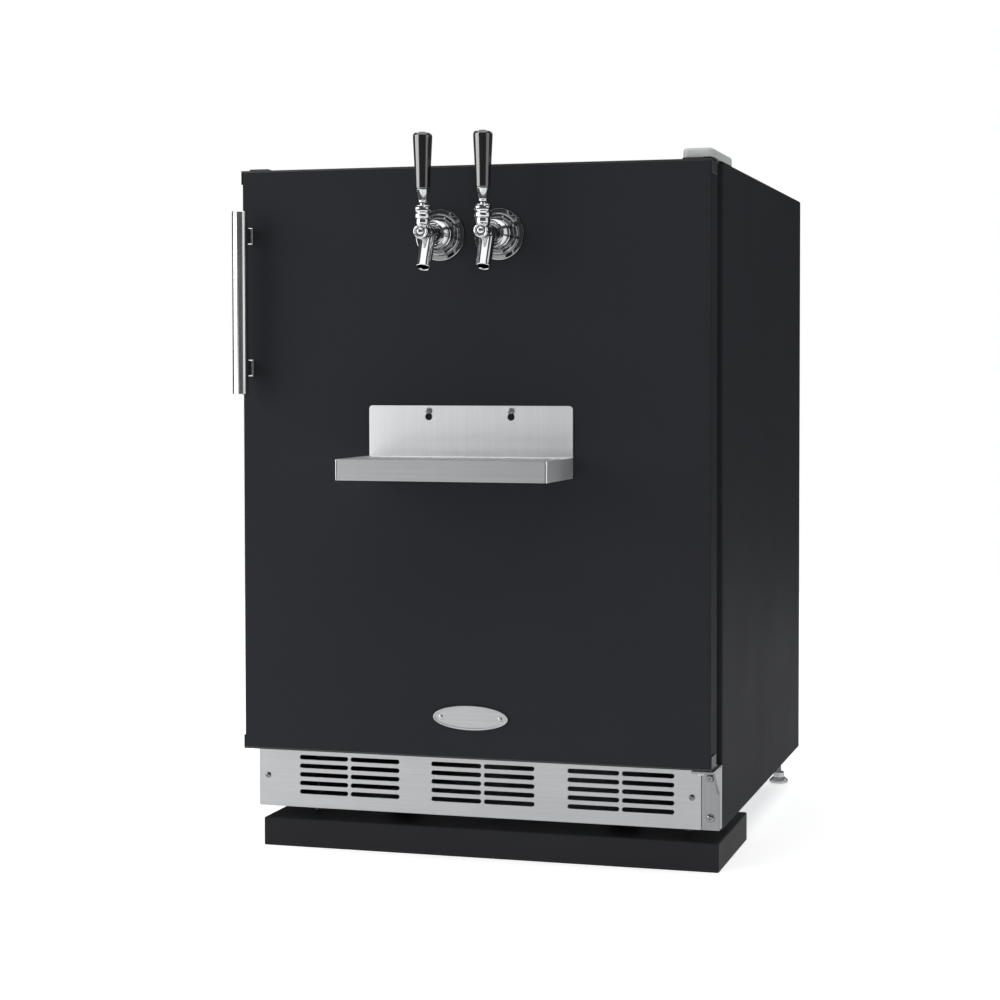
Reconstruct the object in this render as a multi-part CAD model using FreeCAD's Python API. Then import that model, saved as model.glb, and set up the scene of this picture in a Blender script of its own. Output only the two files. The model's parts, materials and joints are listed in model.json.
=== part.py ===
"""Twin-tap kegerator: an undercounter cold cabinet with two beer taps on its door.

Millimetres. X runs to the right, Y away from the viewer, Z up. The origin is on
the floor, under the middle of the whole object, and the door faces -Y.
"""
import FreeCAD, Part
import math
import os

V = FreeCAD.Vector

# ---- driving dimensions: cabinet ----
WIDTH = 600.0
HEIGHT = 860.0
CABINET_DEPTH = 580.0
CABINET_BOTTOM = 51.0
SHEET = 1.0
CORNER_R = 3.0
PANEL_INSET = 8.0
LAND = 34.0
LINER = 2.0
ROOM_HALF = 260.0
ROOM_FLOOR = 172.0
ROOM_TOP = 816.0
ROOM_FLANGE = 6.0
REAR_FOAM = 38.0
BAY_DEPTH = 152.0
BAY_TOP = 290.0
BAY_FOAM = 25.0
BAY_SHEET = 1.5
BAY_CEILING = 131.0

# ---- driving dimensions: door ----
DOOR_BOTTOM = 134.0
DOOR_TOP = 857.5
DOOR_EDGE = 35.0
DOOR_LINER_BACK = 49.5
DOOR_TO_CABINET = 62.5
CAP = 3.0
CLIP = 1.5
CLIP_HEIGHT = 17.0
PAN_INSET = 9.0
DISH_INSET = 60.0
DISH_DEPTH = 8.0
PIVOT_FROM_SIDE = 18.0
PIVOT_BEHIND_FRONT = 22.0
PIN_R = 4.0
RUNNING = 0.05
BUSH_R = 7.0
BUSH_LENGTH = 13.0
BOSS = 12.0

# ---- driving dimensions: kickplate and toe kick ----
KICK_BEHIND_FRONT = 46.0
KICK_BOTTOM = 53.0
KICK_TOP = 131.0
KICK_SHEET = 1.5
BRACKET_WIDTH = 22.0
BRACKET_SHEET = 3.0
TOE_BEHIND_FRONT = 53.7
TOE_DEPTH = 186.0
TOE_HEIGHT = 36.0
TOE_HALF = 297.5
TOE_SHEET = 2.0

# ---- driving dimensions: feet ----
FOOT_GLIDE_R = 14.0
FOOT_STUD_R = 4.0
FRONT_FOOT_X = 248.0
FRONT_FOOT_BACK = 60.0
REAR_FOOT_X = 274.0
REAR_FOOT_INSET = 24.0
BASE_PLATE_Z = 57.0
BASE_PLATE = 2.0

# ---- driving dimensions: taps ----
TAP_X = 37.5
TAP_Z = 773.0
FLANGE_R = 31.5
COLLAR_R = 17.0
LEVER_REACH = 63.0
CAP_REACH = 72.0
PIVOT_RISE = 23.0
BONNET_R = 9.65
BONNET_TOP = 31.0
SPOUT_R = 8.8
SPOUT_BORE_R = 6.4
LEVER_ARM = 20.5
LEVER_TIP_R = 1.9
LEVER_BALL_R = 6.3
SHANK_R = 11.0
TAIL_R = 4.0
TAIL_LENGTH = 24.0

# ---- driving dimensions: drip tray, handle, badge ----
TRAY_REACH = 112.0
TRAY_HALF = 130.0
TRAY_Z = 479.0
TRAY_HEIGHT = 25.0
TRAY_BACK_HEIGHT = 87.0
TRAY_SHEET = 1.2
TRAY_GAP = 0.3
GRID_RECESS = 0.6
KEYHOLE_FROM_TOP = 6.5
GRID_SLOTS = 20
KEYHOLE_X = 52.5
KEYHOLE_DROP = 7.0
SCREW_HEAD_R = 4.0
HANDLE_X = -289.0
HANDLE_REACH = 28.0
HANDLE_R = 9.75
HANDLE_BOTTOM = 579.0
HANDLE_TOP = 805.0
POST_Z = (612.0, 776.0)
BADGE_Z = 185.0
BADGE_HALF = 48.0
BADGE_HALF_HEIGHT = 15.0

# ---- planes worked out from the dimensions above ----
HALF = WIDTH / 2
Y_FRONT = TRAY_REACH - (TRAY_REACH + DOOR_TO_CABINET + CABINET_DEPTH) / 2
Y_CABINET = Y_FRONT + DOOR_TO_CABINET
Y_REAR = Y_CABINET + CABINET_DEPTH
Y_PANEL = Y_REAR - PANEL_INSET
ROOM_REAR = Y_PANEL - SHEET - REAR_FOAM - LINER
BAY_FRONT = Y_PANEL - BAY_DEPTH
HUMP_FRONT = BAY_FRONT - BAY_FOAM - LINER
HUMP_TOP = BAY_TOP + BAY_FOAM + LINER
Y_KICK = Y_FRONT + KICK_BEHIND_FRONT
Y_TOE = Y_FRONT + TOE_BEHIND_FRONT
PIVOT_X = HALF - PIVOT_FROM_SIDE
PIVOT_Y = Y_FRONT + PIVOT_BEHIND_FRONT
BASE_TOP = BASE_PLATE_Z + BASE_PLATE
FOOT_SPOTS = {
    "front_left": (-FRONT_FOOT_X, Y_TOE + FRONT_FOOT_BACK),
    "front_right": (FRONT_FOOT_X, Y_TOE + FRONT_FOOT_BACK),
    "rear_left": (-REAR_FOOT_X, Y_REAR - REAR_FOOT_INSET),
    "rear_right": (REAR_FOOT_X, Y_REAR - REAR_FOOT_INSET),
}
GROMMET = (215.0, 740.0)
GROMMET_R = 11.0
GROMMET_BORE_R = 8.0
KICK_SCREWS = ((-288.0, 92.0), (266.0, 92.0))
BRACKET_SCREWS = ((HALF - BRACKET_WIDTH / 2, 117.0), (HALF - BRACKET_WIDTH / 2, 68.0))
LOW_BOSS = (DOOR_BOTTOM + CAP, DOOR_BOTTOM + 18.0)
HIGH_BOSS = (DOOR_TOP - 18.0, DOOR_TOP - CAP)
BADGE_RIVETS = (-38.0, 38.0)

# ---- cooling and controls, placed from the planes above ----
COMPRESSOR = (150.0, BAY_FRONT + 78.0)
FAN_CENTRE = (BAY_FRONT + 76.0, 165.0)
FAN_X = -95.0
FAN_R = 56.0
FAN_SHAFT_R = 3.0
EVAP_FAN = (85.0, 690.0)
EVAP_HALF = 160.0
EVAP_Z = (540.0, 785.0)
EVAP_DEPTH = 62.0
HOUSING_X = (110.0, 230.0)
HOUSING_Y = (-150.0, -60.0)
HOUSING_Z = (ROOM_TOP - 36.0, ROOM_TOP)
KNOB = (142.0, ROOM_TOP - 18.0)
ROCKER = (200.0, ROOM_TOP - 18.0)


# ---- helpers ----
def slab(x, y, z):
    """Box between the pairs x, y and z."""
    return Part.makeBox(x[1] - x[0], y[1] - y[0], z[1] - z[0], V(x[0], y[0], z[0]))


def rod(radius, start, end):
    """Cylinder of a radius from one point to another."""
    axis = V(*end) - V(*start)
    return Part.makeCylinder(radius, axis.Length, V(*start), axis)


def taper(start_radius, end_radius, start, end):
    """Cone between two radii, from one point to another."""
    axis = V(*end) - V(*start)
    return Part.makeCone(start_radius, end_radius, axis.Length, V(*start), axis)


def ring(outer, inner, start, end):
    """Tube from one point to another."""
    return rod(outer, start, end).cut(rod(inner, start, end))


def turned(profile, centre, direction):
    """Solid of revolution from (radius, height) points, its height along direction."""
    points = [V(radius, 0, height) for radius, height in profile]
    face = Part.Face(Part.makePolygon(points + points[:1]))
    solid = face.revolve(V(0, 0, 0), V(0, 0, 1), 360)
    turn = FreeCAD.Rotation(V(0, 0, 1), V(*direction))
    solid.Placement = FreeCAD.Placement(V(*centre), turn)
    return solid


def plate(points, push):
    """Flat outline pushed along a vector."""
    corners = [V(*point) for point in points]
    return Part.Face(Part.makePolygon(corners + corners[:1])).extrude(V(*push))


def joined(shapes):
    """One solid from touching or overlapping shapes."""
    return shapes[0].fuse(shapes[1:]).removeSplitter()


def group(shapes):
    """Separate solids kept in one node."""
    return Part.makeCompound(shapes)


def edges_along(shape, axis, test):
    """Straight edges of a shape along an axis whose middle passes a test."""
    picked = []
    for edge in shape.Edges:
        ends = [vertex.Point for vertex in edge.Vertexes]
        if len(ends) == 2:
            run = (ends[1] - ends[0]).normalize()
            if abs(run.dot(V(*axis))) > 0.999 and test(edge.CenterOfMass):
                picked.append(edge)
    return picked


def long_slot(x, z, half_height, y):
    """Cutter for a slot with round ends, long in X, through the pair y."""
    ends = [rod(half_height, (side, y[0], z), (side, y[1], z)) for side in x]
    middle = slab(x, y, (z - half_height, z + half_height))
    return joined([middle] + ends)


def serpentine(radius, start, run, pitch, count):
    """Tube that runs to and fro in X and climbs in Z, with round bends."""
    bend = pitch / 2
    x0, y, z0 = start
    edges = []
    for index in range(count):
        z = z0 + index * pitch
        left, right = V(x0, y, z), V(x0 + run, y, z)
        ends = (left, right) if index % 2 == 0 else (right, left)
        edges.append(Part.LineSegment(*ends).toShape())
        if index < count - 1:
            out = bend if index % 2 == 0 else -bend
            top = V(ends[1].x, y, z + pitch)
            middle = V(ends[1].x + out, y, z + bend)
            edges.append(Part.Arc(ends[1], middle, top).toShape())
    circle = Part.Circle(V(*start), V(1, 0, 0), radius).toShape()
    return Part.Wire(edges).makePipeShell([Part.Wire([circle])], True, False)


def fan_blade(centre, radius, hub_r, hub_length, shaft_r, direction):
    """Hub with five pitched blades and a running bore for its shaft."""
    blade_chord, blade_thick, pitch_angle, blade_count = 26.0, 1.6, 28.0, 5
    hub = turned([(0, 0), (hub_r, 0), (hub_r, hub_length - 2), (hub_r - 2, hub_length),
                  (0, hub_length)], (0, 0, 0), (0, 0, 1))
    blades = []
    for index in range(blade_count):
        blade = Part.makeBox(radius - hub_r + 2, blade_chord, blade_thick,
                             V(hub_r - 2, -blade_chord / 2, -blade_thick / 2))
        blade = blade.makeFillet(7.0, edges_along(blade, (0, 0, 1), lambda p: p.x > radius - 1))
        blade.rotate(V(0, 0, 0), V(1, 0, 0), pitch_angle)
        blade.translate(V(0, 0, hub_length / 2))
        blade.rotate(V(0, 0, 0), V(0, 0, 1), index * 360.0 / blade_count)
        blades.append(blade)
    fan = joined([hub] + blades)
    reach = Part.makeCylinder(radius, 4 * hub_length, V(0, 0, -hub_length))
    bore = Part.makeCylinder(shaft_r + RUNNING, hub_length - 4, V(0, 0, 0))
    fan = fan.common(reach).cut(bore)
    turn = FreeCAD.Rotation(V(0, 0, 1), V(*direction))
    fan.Placement = FreeCAD.Placement(V(*centre), turn)
    return fan


# ---- cabinet ----
def shell_block(inset, front):
    """The cabinet's outer block, inset by a wall, with its two long top edges rounded."""
    block = slab((-HALF + inset, HALF - inset), (front, Y_REAR), (CABINET_BOTTOM, HEIGHT - inset))
    edges = edges_along(block, (0, 1, 0), lambda p: p.z > HEIGHT - 2 * SHEET)
    return block.makeFillet(CORNER_R - inset, edges)


def cabinet_shell():
    mouth = slab((-HALF + LAND, HALF - LAND), (Y_CABINET, Y_CABINET + SHEET),
                 (CABINET_BOTTOM, HEIGHT - LAND))
    return shell_block(0, Y_CABINET).cut([shell_block(SHEET, Y_CABINET + SHEET), mouth])


def room(grow):
    """The keg room, grown outwards by a wall thickness, with the machine bay's hump left out."""
    space = slab((-ROOM_HALF - grow, ROOM_HALF + grow), (Y_CABINET, ROOM_REAR + grow),
                 (ROOM_FLOOR - grow, ROOM_TOP + grow))
    hump = slab((-HALF, HALF), (HUMP_FRONT + grow, Y_REAR), (0, HUMP_TOP - grow))
    return space.cut(hump)


def grommet_hole():
    x, z = GROMMET
    return rod(GROMMET_R, (x, ROOM_REAR - LINER, z), (x, Y_REAR, z))


def cabinet_liner():
    flange = slab((-HALF + LAND, HALF - LAND), (Y_CABINET, Y_CABINET + LINER),
                  (ROOM_FLOOR - ROOM_FLANGE, HEIGHT - LAND))
    skin = room(LINER).fuse(flange)
    return skin.cut([room(0), grommet_hole()]).removeSplitter()


def cabinet_foam():
    fill = shell_block(SHEET, Y_CABINET + LINER)
    bay = slab((-HALF, HALF), (BAY_FRONT, Y_REAR), (0, BAY_TOP))
    below = slab((-HALF, HALF), (Y_CABINET, Y_REAR), (0, BAY_CEILING))
    behind = slab((-HALF, HALF), (Y_PANEL - SHEET, Y_REAR), (0, HEIGHT))
    return fill.cut([room(LINER), bay, below, behind, grommet_hole()])


def cabinet_back_panel():
    zone = slab((-HALF, HALF), (Y_PANEL - SHEET, Y_PANEL), (BAY_TOP - BAY_SHEET, HEIGHT))
    return shell_block(SHEET, Y_CABINET).common(zone).cut(grommet_hole())


def machine_bay_plate():
    """Folded sheet under the foam: front lip, floor of the foam, bay front, bay ceiling."""
    x = (-HALF + SHEET, HALF - SHEET)
    lip = slab((-HALF + LAND, HALF - LAND), (Y_CABINET, Y_CABINET + BAY_SHEET),
               (BAY_CEILING - BAY_SHEET, ROOM_FLOOR - ROOM_FLANGE))
    low = slab(x, (Y_CABINET + SHEET, BAY_FRONT + BAY_SHEET),
               (BAY_CEILING - BAY_SHEET, BAY_CEILING))
    rise = slab(x, (BAY_FRONT, BAY_FRONT + BAY_SHEET), (BAY_CEILING - BAY_SHEET, BAY_TOP))
    top = slab(x, (BAY_FRONT, Y_PANEL - SHEET), (BAY_TOP - BAY_SHEET, BAY_TOP))
    return joined([lip, low, rise, top])


def base_plate():
    sheet = slab((-HALF + SHEET, HALF - SHEET), (Y_CABINET + SHEET, Y_PANEL - SHEET),
                 (BASE_PLATE_Z, BASE_TOP))
    rail_height, rail_wide = 22.0, 2.0
    rails = [slab(pair, (Y_CABINET + SHEET, Y_PANEL - SHEET), (BASE_TOP, BASE_TOP + rail_height))
             for pair in ((-HALF + SHEET, -HALF + SHEET + rail_wide),
                          (HALF - SHEET - rail_wide, HALF - SHEET))]
    holes = [rod(FOOT_STUD_R + 0.5, (x, y, 0), (x, y, HEIGHT)) for x, y in FOOT_SPOTS.values()]
    return joined([sheet] + rails).cut(holes)


def rear_grille():
    rows, first_z, pitch, half_height = 12, 90.0, 15.0, 2.5
    columns = ((-210.0, -110.0), (-90.0, 10.0), (30.0, 130.0), (150.0, 250.0))
    panel = slab((-HALF + SHEET, HALF - SHEET), (Y_PANEL - SHEET, Y_PANEL),
                 (BASE_PLATE_Z, BAY_TOP - BAY_SHEET))
    slots = [long_slot(x, first_z + row * pitch, half_height, (Y_PANEL - SHEET, Y_PANEL))
             for row in range(rows) for x in columns]
    gland = rod(9.0, (-255.0, Y_PANEL - SHEET, 100.0), (-255.0, Y_PANEL, 100.0))
    return panel.cut(slots + [gland])


def mains_gland():
    """Cord gland in the rear grille: a snapped body with a flange on each side."""
    body = turned([(4.5, -8), (9, -8), (9, -SHEET), (9, 0), (12, 0), (12, 2), (8, 7), (4.5, 7)],
                  (-255.0, Y_PANEL, 100.0), (0, 1, 0))
    back = ring(11.5, 9.0, (-255.0, Y_PANEL - SHEET - 2, 100.0), (-255.0, Y_PANEL - SHEET, 100.0))
    return joined([body, back])


def gas_line_grommet():
    x, z = GROMMET
    flange_r, flange = 16.0, 2.0
    sleeve = ring(GROMMET_R, GROMMET_BORE_R, (x, ROOM_REAR - flange, z), (x, Y_PANEL + flange, z))
    inner = ring(flange_r, GROMMET_BORE_R, (x, ROOM_REAR - flange, z), (x, ROOM_REAR, z))
    outer = ring(flange_r, GROMMET_BORE_R, (x, Y_PANEL, z), (x, Y_PANEL + flange, z))
    return joined([sleeve, inner, outer])


def keg_floor_plate():
    gap, sheet, lip = 3.0, 1.5, 10.0
    x = (-ROOM_HALF + gap, ROOM_HALF - gap)
    y = (Y_CABINET + 12.0, HUMP_FRONT - gap)
    flat = slab(x, y, (ROOM_FLOOR, ROOM_FLOOR + sheet))
    back = slab(x, (y[1] - sheet, y[1]), (ROOM_FLOOR, ROOM_FLOOR + lip))
    return joined([flat, back])


# ---- kickplate, toe kick and feet ----
def kickplate():
    """Folded stainless plate with a top, bottom and left return and three banks of louvres."""
    x = (-HALF, HALF - BRACKET_WIDTH - 0.4)
    face = slab(x, (Y_KICK, Y_KICK + KICK_SHEET), (KICK_BOTTOM, KICK_TOP))
    y = (Y_KICK, Y_CABINET)
    bottom = slab(x, y, (KICK_BOTTOM, KICK_BOTTOM + KICK_SHEET))
    top = slab(x, y, (KICK_TOP - KICK_SHEET, KICK_TOP))
    left = slab((-HALF, -HALF + KICK_SHEET), y, (KICK_BOTTOM, KICK_TOP))
    shape = joined([face, bottom, top, left])
    bank_pitch, column_offset, slot_half, rows, row_pitch, top_row = 177.0, 34.5, 30.0, 5, 11.0, 117.0
    slots = []
    for bank in (-1, 0, 1):
        for side in (-1, 1):
            centre = bank * bank_pitch + side * column_offset
            for row in range(rows):
                z = top_row - row * row_pitch
                slots.append(long_slot((centre - slot_half, centre + slot_half), z, 2.65,
                                       (Y_KICK, Y_KICK + KICK_SHEET)))
    notch = slab((HALF - BRACKET_WIDTH - 6.0, HALF), (Y_KICK, Y_CABINET),
                 (KICK_TOP - BRACKET_SHEET - 2.0, KICK_TOP))
    screws = [rod(2.0, (x, Y_KICK, z), (x, Y_KICK + KICK_SHEET, z)) for x, z in KICK_SCREWS]
    return shape.cut(slots + [notch] + screws)


def dome_screw(x, z, y, head_r, length):
    """Domed screw in a face at y, its head standing out towards -Y."""
    head = turned([(0, 0), (head_r, 0), (head_r, 0.6), (head_r * 0.85, 1.7), (head_r * 0.5, 2.6),
                   (0, 2.9)], (x, y, z), (0, -1, 0))
    shank = rod(2.0, (x, y, z), (x, y + length, z))
    cross = [slab((x - w, x + w), (y - 3, y - 1.6), (z - h, z + h)) for w, h in ((2, 0.5), (0.5, 2))]
    return joined([head, shank]).cut(cross)


def front_screws():
    screws = [dome_screw(x, z, Y_KICK, 3.2, 8.0) for x, z in KICK_SCREWS]
    screws += [dome_screw(x, z, Y_KICK, 4.4, 10.0) for x, z in BRACKET_SCREWS]
    return group(screws)


def lower_hinge_bracket():
    """Stainless angle: a face plate, a leaf under the door, a gusset and a side return."""
    x = (HALF - BRACKET_WIDTH, HALF)
    face = slab(x, (Y_KICK, Y_KICK + BRACKET_SHEET), (KICK_BOTTOM, KICK_TOP))
    leaf_front = PIVOT_Y - 11.0
    leaf = slab((PIVOT_X - 10.0, HALF), (leaf_front, Y_CABINET), (KICK_TOP - BRACKET_SHEET, KICK_TOP))
    leaf = leaf.makeFillet(6.0, edges_along(leaf, (0, 0, 1), lambda p: p.y < leaf_front + 1))
    gusset = plate([(HALF - BRACKET_SHEET, Y_KICK, KICK_TOP - BRACKET_SHEET),
                    (HALF - BRACKET_SHEET, leaf_front + 8, KICK_TOP - BRACKET_SHEET),
                    (HALF - BRACKET_SHEET, Y_KICK, KICK_TOP - 34)], (BRACKET_SHEET, 0, 0))
    side = slab((HALF - BRACKET_SHEET, HALF), (Y_KICK, Y_CABINET), (KICK_BOTTOM, KICK_TOP))
    holes = [rod(2.0, (a, Y_KICK, z), (a, Y_KICK + BRACKET_SHEET, z)) for a, z in BRACKET_SCREWS]
    pin = rod(PIN_R, (PIVOT_X, PIVOT_Y, 0), (PIVOT_X, PIVOT_Y, HEIGHT))
    return joined([face, leaf, gusset, side]).cut(holes + [pin])


def hinge_pins():
    """Lower and upper hinge pins with heads outside their leaves; the door stands on a collar."""
    low = turned([(0, -2.5), (6, -2.5), (6, 0), (PIN_R, 0), (PIN_R, 3), (7, 3), (7, 5.8), (PIN_R, 5.8),
                  (PIN_R, 14), (PIN_R - 1, 15), (0, 15)],
                 (PIVOT_X, PIVOT_Y, KICK_TOP - BRACKET_SHEET), (0, 0, 1))
    high = turned([(0, -2.5), (6, -2.5), (6, 0), (PIN_R, 0), (PIN_R, 13), (PIN_R - 1, 14), (0, 14)],
                  (PIVOT_X, PIVOT_Y, HEIGHT + BRACKET_SHEET), (0, 0, -1))
    return group([low, high])


def upper_hinge_bracket():
    """Steel leaf on the cabinet's top that reaches out over the door."""
    back = Y_CABINET + 58.0
    leaf = slab((PIVOT_X - 14.0, HALF - 4.0), (PIVOT_Y - 11.0, back), (HEIGHT, HEIGHT + BRACKET_SHEET))
    leaf = leaf.makeFillet(5.0, edges_along(leaf, (0, 0, 1), lambda p: p.y < PIVOT_Y))
    pin = rod(PIN_R, (PIVOT_X, PIVOT_Y, 0), (PIVOT_X, PIVOT_Y, 2 * HEIGHT))
    return leaf.cut(pin)


def cover_block(inset):
    """Rounded block over the upper hinge, inset by a wall."""
    low = HEIGHT
    high = HEIGHT + 11.0 - inset
    block = slab((PIVOT_X - 20.0 + inset, HALF - 1.0 - inset),
                 (PIVOT_Y - 16.0 + inset, Y_CABINET + 64.0 - inset), (low, high))
    block = block.makeFillet(7.0 - inset, edges_along(block, (0, 0, 1), lambda p: True))
    rim = [edge for edge in block.Edges if abs(edge.CenterOfMass.z - high) < 0.01]
    return block.makeFillet(4.0 - inset, rim)


def upper_hinge_cover():
    wall = 1.8
    return cover_block(0).cut(cover_block(wall))


def toe_kick():
    """Folded black plinth with clearance holes for the front feet and two tabs to the base."""
    x, y = (-TOE_HALF, TOE_HALF), (Y_TOE, Y_TOE + TOE_DEPTH)
    inner = slab((x[0] + TOE_SHEET, x[1] - TOE_SHEET), (y[0] + TOE_SHEET, y[1] - TOE_SHEET),
                 (0, TOE_HEIGHT - TOE_SHEET))
    outer = slab(x, y, (0, TOE_HEIGHT))
    outer = outer.makeFillet(1.5, edges_along(outer, (0, 0, 1), lambda p: True))
    holes = [rod(17.0, (a, Y_TOE + FRONT_FOOT_BACK, 0), (a, Y_TOE + FRONT_FOOT_BACK, TOE_HEIGHT))
             for a in (-FRONT_FOOT_X, FRONT_FOOT_X)]
    tab_x, tab_half, tab_back = 150.0, 20.0, 120.0
    tabs = []
    for side in (-1, 1):
        middle = side * tab_x
        tabs.append(slab((middle - tab_half, middle + tab_half),
                         (Y_TOE + tab_back, Y_TOE + tab_back + TOE_SHEET),
                         (TOE_HEIGHT - TOE_SHEET, BASE_PLATE_Z)))
    return joined([outer.cut([inner] + holes)] + tabs)


def levelling_foot(x, y):
    """Glide, hexagon and threaded stud, turned by hand to set the height."""
    glide = turned([(0, 0), (FOOT_GLIDE_R - 1, 0), (FOOT_GLIDE_R, 1), (FOOT_GLIDE_R, 4),
                    (FOOT_GLIDE_R - 3, 7), (8, 8), (8, 16), (FOOT_STUD_R, 17), (FOOT_STUD_R, 78),
                    (FOOT_STUD_R - 1, 79), (0, 79)], (x, y, 0), (0, 0, 1))
    flats = [slab((x - 9, x + 9), (y + side * 8 - 1, y + side * 8 + 1), (9, 16)) for side in (-1, 1)]
    return glide.cut(flats)


def foot_nuts():
    """Weld nuts on the base plate that the feet screw through."""
    height, reach = 9.0, 9.0
    nuts = []
    for x, y in FOOT_SPOTS.values():
        corners = [(x + reach * math.cos(math.radians(60 * k)), y + reach * math.sin(math.radians(60 * k)),
                    BASE_TOP) for k in range(6)]
        bore = rod(FOOT_STUD_R + RUNNING, (x, y, BASE_TOP), (x, y, BASE_TOP + height))
        nuts.append(plate(corners, (0, 0, height)).cut(bore))
    return group(nuts)


# ---- cooling ----
def compressor():
    """Welded steel shell with a seam, a mounting foot, a terminal box and two pipe stubs."""
    x, y = COMPRESSOR
    foot_z, body_r, body_height = BASE_TOP + 12.0, 61.0, 150.0
    body = rod(body_r, (x, y, foot_z + 3), (x, y, foot_z + 3 + body_height))
    rims = [edge for edge in body.Edges if len(edge.Vertexes) == 1]
    body = body.makeFillet(30.0, rims)
    seam = rod(body_r + 3, (x, y, foot_z + 85), (x, y, foot_z + 91))
    foot = slab((x - 95, x + 95), (y - 55, y + 55), (foot_z, foot_z + 4))
    box = slab((x - 85, x - 50), (y - 25, y + 25), (foot_z + 30, foot_z + 78))
    pipe = rod(4.0, (x, y, foot_z + 120), (x + 20, y, foot_z + 175))
    bolts = [rod(5.0, (x + a, y + b, foot_z), (x + a, y + b, foot_z + 4))
             for a in (-82, 82) for b in (-42, 42)]
    return joined([body, seam, foot, box, pipe]).cut(bolts)


def compressor_mounts():
    """Four rubber grommets between the base plate and the compressor's foot."""
    x, y = COMPRESSOR
    profile = [(0, 0), (10, 0), (10, 12), (5, 12), (5, 16), (9, 16), (7, 20), (0, 20)]
    return group([turned(profile, (x + a, y + b, BASE_TOP), (0, 0, 1))
                  for a in (-82, 82) for b in (-42, 42)])


def condenser_coil():
    """Three banks of to-and-fro tube, standing between two end plates."""
    x0, run, pitch, count, tube_r = -262.0, 84.0, 20.0, 9, 3.0
    banks = [serpentine(tube_r, (x0, BAY_FRONT + depth, 78.0), run, pitch, count)
             for depth in (46, 76, 106)]
    return group(banks)


def condenser_fan_shroud():
    """Plate across the bay with a round throat and a strut that carries the motor."""
    y, z = FAN_CENTRE
    sheet, lip = 2.0, 14.0
    x = (FAN_X - 9.0, FAN_X - 9.0 + sheet)
    wall = slab(x, (BAY_FRONT + 8.0, Y_PANEL - SHEET - 6.0), (BASE_TOP, BAY_TOP - 12.0))
    throat = ring(FAN_R + 5, FAN_R + 3, (x[0], y, z), (x[0] + lip, y, z))
    opening = rod(FAN_R + 3, (x[0], y, z), (x[0] + lip, y, z))
    foot = slab((FAN_X + 24.0, FAN_X + 42.0), (y - 8, y + 8), (BASE_TOP, BASE_TOP + 3))
    post = slab((FAN_X + 24.0, FAN_X + 27.0), (y - 8, y + 8), (BASE_TOP, z - 18))
    tie = slab((x[0], FAN_X + 27.0), (y - 8, y + 8), (BASE_TOP, BASE_TOP + 3))
    return joined([wall.cut(opening), throat, foot, post, tie])


def fan_motors():
    """Motor with its shaft for the condenser fan and for the evaporator fan."""
    y, z = FAN_CENTRE
    body = turned([(0, 0), (18, 0), (18, 26), (14, 30), (0, 30)], (FAN_X + 18.0, y, z), (1, 0, 0))
    shaft = rod(FAN_SHAFT_R, (FAN_X + 2.0, y, z), (FAN_X + 18.0, y, z))
    x, z = EVAP_FAN
    cold_body = turned([(0, 0), (17, 0), (17, 20), (12, 24), (0, 24)], (x, ROOM_REAR, z), (0, -1, 0))
    cold_shaft = rod(FAN_SHAFT_R, (x, ROOM_REAR - 24, z), (x, ROOM_REAR - 38, z))
    return group([joined([body, shaft]), joined([cold_body, cold_shaft])])


def condenser_fan_blade():
    y, z = FAN_CENTRE
    return fan_blade((FAN_X + 14.0, y, z), FAN_R, 13.0, 18.0, FAN_SHAFT_R, (-1, 0, 0))


def evaporator_cover():
    """White cover on the rear wall, open at the back, slotted in front of its coil and fan."""
    wall = 2.0
    x, y = (-EVAP_HALF, EVAP_HALF), (ROOM_REAR - EVAP_DEPTH, ROOM_REAR)
    outer = slab(x, y, EVAP_Z)
    outer = outer.makeFillet(8.0, edges_along(outer, (0, 1, 0), lambda p: True))
    inner = slab((x[0] + wall, x[1] - wall), (y[0] + wall, y[1]), (EVAP_Z[0] + wall, EVAP_Z[1] - wall))
    inner = inner.makeFillet(6.0, edges_along(inner, (0, 1, 0), lambda p: True))
    front = (y[0], y[0] + wall)
    slots = [long_slot((-135.0, -10.0), 565.0 + 15.0 * row, 3.0, front) for row in range(14)]
    fan_x, fan_z = EVAP_FAN
    for row in range(-3, 4):
        half = math.sqrt(44.0 ** 2 - (row * 12.0) ** 2) - 4.0
        slots.append(long_slot((fan_x - half, fan_x + half), fan_z + row * 12.0, 3.5, front))
    return outer.cut([inner] + slots)


def evaporator_coil():
    return serpentine(4.0, (-128.0, ROOM_REAR - 26.0, 566.0), 104.0, 24.0, 9)


def evaporator_fan_blade():
    x, z = EVAP_FAN
    return fan_blade((x, ROOM_REAR - 28.0, z), 45.0, 11.0, 16.0, FAN_SHAFT_R, (0, -1, 0))


# ---- controls on the room's ceiling ----
def thermostat_housing():
    wall = 2.0
    outer = slab(HOUSING_X, HOUSING_Y, HOUSING_Z)
    low = edges_along(outer, (0, 1, 0), lambda p: p.z < HOUSING_Z[0] + 1)
    outer = outer.makeFillet(6.0, low)
    inner = slab((HOUSING_X[0] + wall, HOUSING_X[1] - wall),
                 (HOUSING_Y[0] + wall, HOUSING_Y[1] - wall), (HOUSING_Z[0] + 6, HOUSING_Z[1]))
    shaft = rod(3.0 + RUNNING, (KNOB[0], HOUSING_Y[0] - 1, KNOB[1]), (KNOB[0], HOUSING_Y[0] + 3, KNOB[1]))
    window = slab((ROCKER[0] - 8, ROCKER[0] + 8), (HOUSING_Y[0] - 1, HOUSING_Y[0] + wall),
                  (ROCKER[1] - 12, ROCKER[1] + 12))
    lens = slab((140.0, 200.0), (-125.0, -85.0), (HOUSING_Z[0], HOUSING_Z[0] + 6))
    return outer.cut([inner, shaft, window, lens])


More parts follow.
